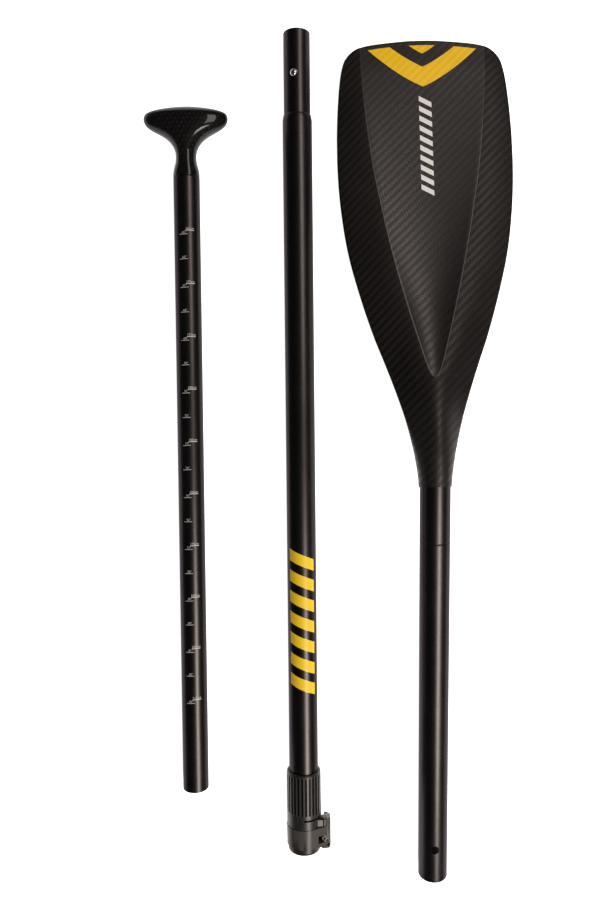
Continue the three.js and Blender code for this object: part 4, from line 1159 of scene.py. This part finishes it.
def face_side(u, v):
    hw = half_width(np.minimum(v, CORNER_V))
    rho = np.where(v > 100, np.minimum(ridge(v), hw - 6), 0.0)
    a = np.abs(u)
    e = edge_half(v)
    top = crest(v) - edge_line(v) - e
    outside = a > rho
    f = np.where(outside, flank((a - rho) / np.maximum(1e-3, hw - rho), v), 1.0)
    dip = np.where(outside, 0.0, scoop(v) * (1 - (a / np.maximum(1e-3, rho)) ** 2))
    fade = np.where(
        v > 398,
        mix(1, 0.35, smooth(398, 430, v)) * mix(1, edge_round(u, v), smooth(398, 430, v)),
        1.0,
    )
    return edge_line(v) + e * edge_round(u, v) + (top * f - dip) * fade


def back_side(u, v):
    hw = half_width(np.minimum(v, CORNER_V))
    q = np.minimum(1, np.abs(u) / hw)
    e = edge_half(v)
    depth = edge_line(v) - keel(v) - e
    round_ = np.sqrt(np.maximum(0, 1 - q * q))
    bell = 0.5 + 0.5 * np.cos(np.pi * q)
    plate = 1 - q**2.2
    f = mix(mix(round_, bell, smooth(8, 70, v)), plate, smooth(90, 180, v))
    fade = np.where(v > 398, mix(1, 0.35 * edge_round(u, v), smooth(398, 430, v)), 1.0)
    return edge_line(v) - e * edge_round(u, v) - depth * f * fade


HG = 0.15
WING, PANEL = 34, 24


def columns(v):
    """u at each column of a station: the ridges always lie on a column."""
    hw = float(half_width(v))
    rho = max(float(min(ridge(v), hw - 6)) if v > 100 else 0.0, 2.6 + 0.0 * v)
    wing = [(1 - math.cos(math.pi * k / WING)) / 2 for k in range(WING)]
    left = [-hw + (hw - rho) * t for t in wing]
    inner = [-rho + 2 * rho * k / PANEL for k in range(PANEL)]
    right = [rho + (hw - rho) * t for t in wing] + [hw]
    return np.array(left + inner + right)


rows_v = sorted(
    set(
        [0, 0.4, 1, 2]
        + [float(v) for v in np.linspace(3, 97, 48)]
        + [float(v) for v in np.linspace(98, 116, 19)]
        + [float(v) for v in np.linspace(118, 400, 124)]
        + [402, 404, 406, 408, 410, 411.5, 413, 414.2, 415.2, 416, 416.6, 417.0, 417.3, 417.5]
    )
)


def off_floor(u, along, w):
    """Keeps the back of the tip on the surface it rests on."""
    low = (0.02 - BLADE.o[2] - BLADE.R[2, 0] * u - BLADE.R[2, 1] * along) / BLADE.R[2, 2]
    return np.maximum(w, low)


def blade_grid(height):
    rows = []
    for v in rows_v:
        u = columns(v)
        reach = float(smooth(330, CORNER_V, v)) ** 1.5
        along = v + (tip_edge(np.minimum(np.abs(u), CORNER_U)) - CORNER_V) * reach
        rows.append(np.stack([u, along, off_floor(u, along, height(u, along))], 1))
    return np.array(rows)


def face_outer(u, v):
    return np.maximum(face_side(u, v), edge_line(v) + HG + 0.12)


def back_outer(u, v):
    return np.minimum(back_side(u, v), edge_line(v) - HG - 0.12)


def hollow(u, v):
    return smooth(36, 44, v) * smooth(0, 0.999, edge_round(u, v))


def face_inner(u, v):
    flat = edge_line(v) + HG
    return mix(flat, np.maximum(flat, face_side(u, v) - 0.9), hollow(u, v))


def back_inner(u, v):
    flat = edge_line(v) - HG
    return mix(flat, np.minimum(flat, back_side(u, v) + 0.9), hollow(u, v))


def plated(name, upper, lower):
    r, c, _ = upper.shape
    verts = np.concatenate([upper.reshape(-1, 3), lower.reshape(-1, 3)])
    at = lambda layer, i, j: layer * r * c + i * c + j
    faces = []
    for i in range(r - 1):
        for j in range(c - 1):
            faces.append((at(0, i, j), at(0, i, j + 1), at(0, i + 1, j + 1), at(0, i + 1, j)))
            faces.append((at(1, i, j), at(1, i + 1, j), at(1, i + 1, j + 1), at(1, i, j + 1)))
    border = [(0, j) for j in range(c)]
    border += [(i, c - 1) for i in range(1, r)]
    border += [(r - 1, j) for j in range(c - 2, -1, -1)]
    border += [(i, 0) for i in range(r - 2, 0, -1)]
    for k, (i, j) in enumerate(border):
        m, n = border[(k + 1) % len(border)]
        faces.append((at(0, i, j), at(1, i, j), at(1, m, n), at(0, m, n)))
    return face_out(new_object(name, verts, faces))


def tube_room(name):
    ob = lathe(name, [(0, -20), (14.35, -20), (14.35, TUBE_IN + 0.6), (0, TUBE_IN + 0.6)], 128)
    ob.data.transform(Matrix.Rotation(RISE + FALL, 4, "X"))
    return ob


face = plated("face_skin", blade_grid(face_outer), blade_grid(face_inner))
boolean(face, tube_room("room1"))
finish_piece(face, BLADE, "blade", M_FACE, "laminate", "blade_face", sharp=40)
back = plated("back_skin", blade_grid(back_inner), blade_grid(back_outer))
boolean(back, tube_room("room2"))
finish_piece(back, BLADE, "blade", M_BACK, "laminate", "blade_back", sharp=40)

# ------------------------------------------------------------------ carried-over CAD nodes
for node, material in {
    "button_spring": M_SPRING,
    "tension_nut": M_STEEL,
    "neck_ferrule": M_SHAFT,
    "shaft_bung": M_FOAM,
    "blade_core": M_FOAM,
}.items():
    NODES[node].data.materials.clear()
    NODES[node].data.materials.append(material)

# ------------------------------------------------------------------ floor, light, camera
m = Mat("pale floor")
cloud = m.noise(0.004, 2, 0.5)
m.set(
    color=m.colour(cloud, (0.86, 0.86, 0.86), (0.90, 0.90, 0.90)), rough=0.9, spec=0.1
)
m.b.inputs["Emission Color"].default_value = (1, 1, 1, 1)
m.b.inputs["Emission Strength"].default_value = 1.0
bpy.ops.mesh.primitive_grid_add(x_subdivisions=4, y_subdivisions=4, size=14)
floor = bpy.context.object
floor.name = "floor"
floor.location = (0, 0, -0.0004)
floor.data.materials.append(m.m)


def area(name, at, target, size, power, colour=(1, 1, 1)):
    data = bpy.data.lights.new(name, "AREA")
    data.shape, data.size, data.size_y = "RECTANGLE", size[0], size[1]
    data.energy, data.color = power, colour
    ob = bpy.data.objects.new(name, data)
    SCENE.collection.objects.link(ob)
    ob.location = at
    z = (Vector(at) - Vector(target)).normalized()
    y = Vector((0, 1, 0))
    x = y.cross(z).normalized()
    y = z.cross(x)
    ob.matrix_world = Matrix.Translation(at) @ Matrix((x, y, z)).transposed().to_4x4()
    return ob


KEY = (1.0, 0.93, 0.88)
area("key strip", (0.68, -0.97, 1.25), (0.0, -0.80, 0.0), (0.46, 1.10), 33, KEY)
area("key strip, far", (0.68, 0.82, 1.25), (0.0, 0.70, 0.0), (0.46, 1.4), 15.0, KEY)

world = bpy.data.worlds.new("studio")
SCENE.world = world
world.use_nodes = True
bg = world.node_tree.nodes["Background"]
bg.inputs[0].default_value = (0.96, 0.96, 1.0, 1)
bg.inputs[1].default_value = 0.07

SCENE.view_settings.view_transform = "Standard"
SCENE.view_settings.look = "None"
SCENE.view_settings.exposure = 0.0

tilt, roll = math.radians(2.0), math.radians(0.573)
view = Vector((0, -math.sin(tilt), -math.cos(tilt)))
right = Vector((1, 0, 0))
up = right.cross(view)
c, s = math.cos(-roll), math.sin(-roll)
cam_x, cam_y = c * right + s * up, -s * right + c * up
cam = bpy.data.cameras.new("camera")
cam.sensor_width, cam.sensor_fit = 36.0, "AUTO"
cam.lens = 775 / 900 * 36
cam.shift_y = -37 / 900
cam.clip_start, cam.clip_end = 0.01, 50
cam_ob = bpy.data.objects.new("camera", cam)
SCENE.collection.objects.link(cam_ob)
cam_ob.matrix_world = (
    Matrix.Translation((-0.029741, 0.073976, 0.764))
    @ Matrix((cam_x, cam_y, -view)).transposed().to_4x4()
)
SCENE.camera = cam_ob

bpy.context.view_layer.update()
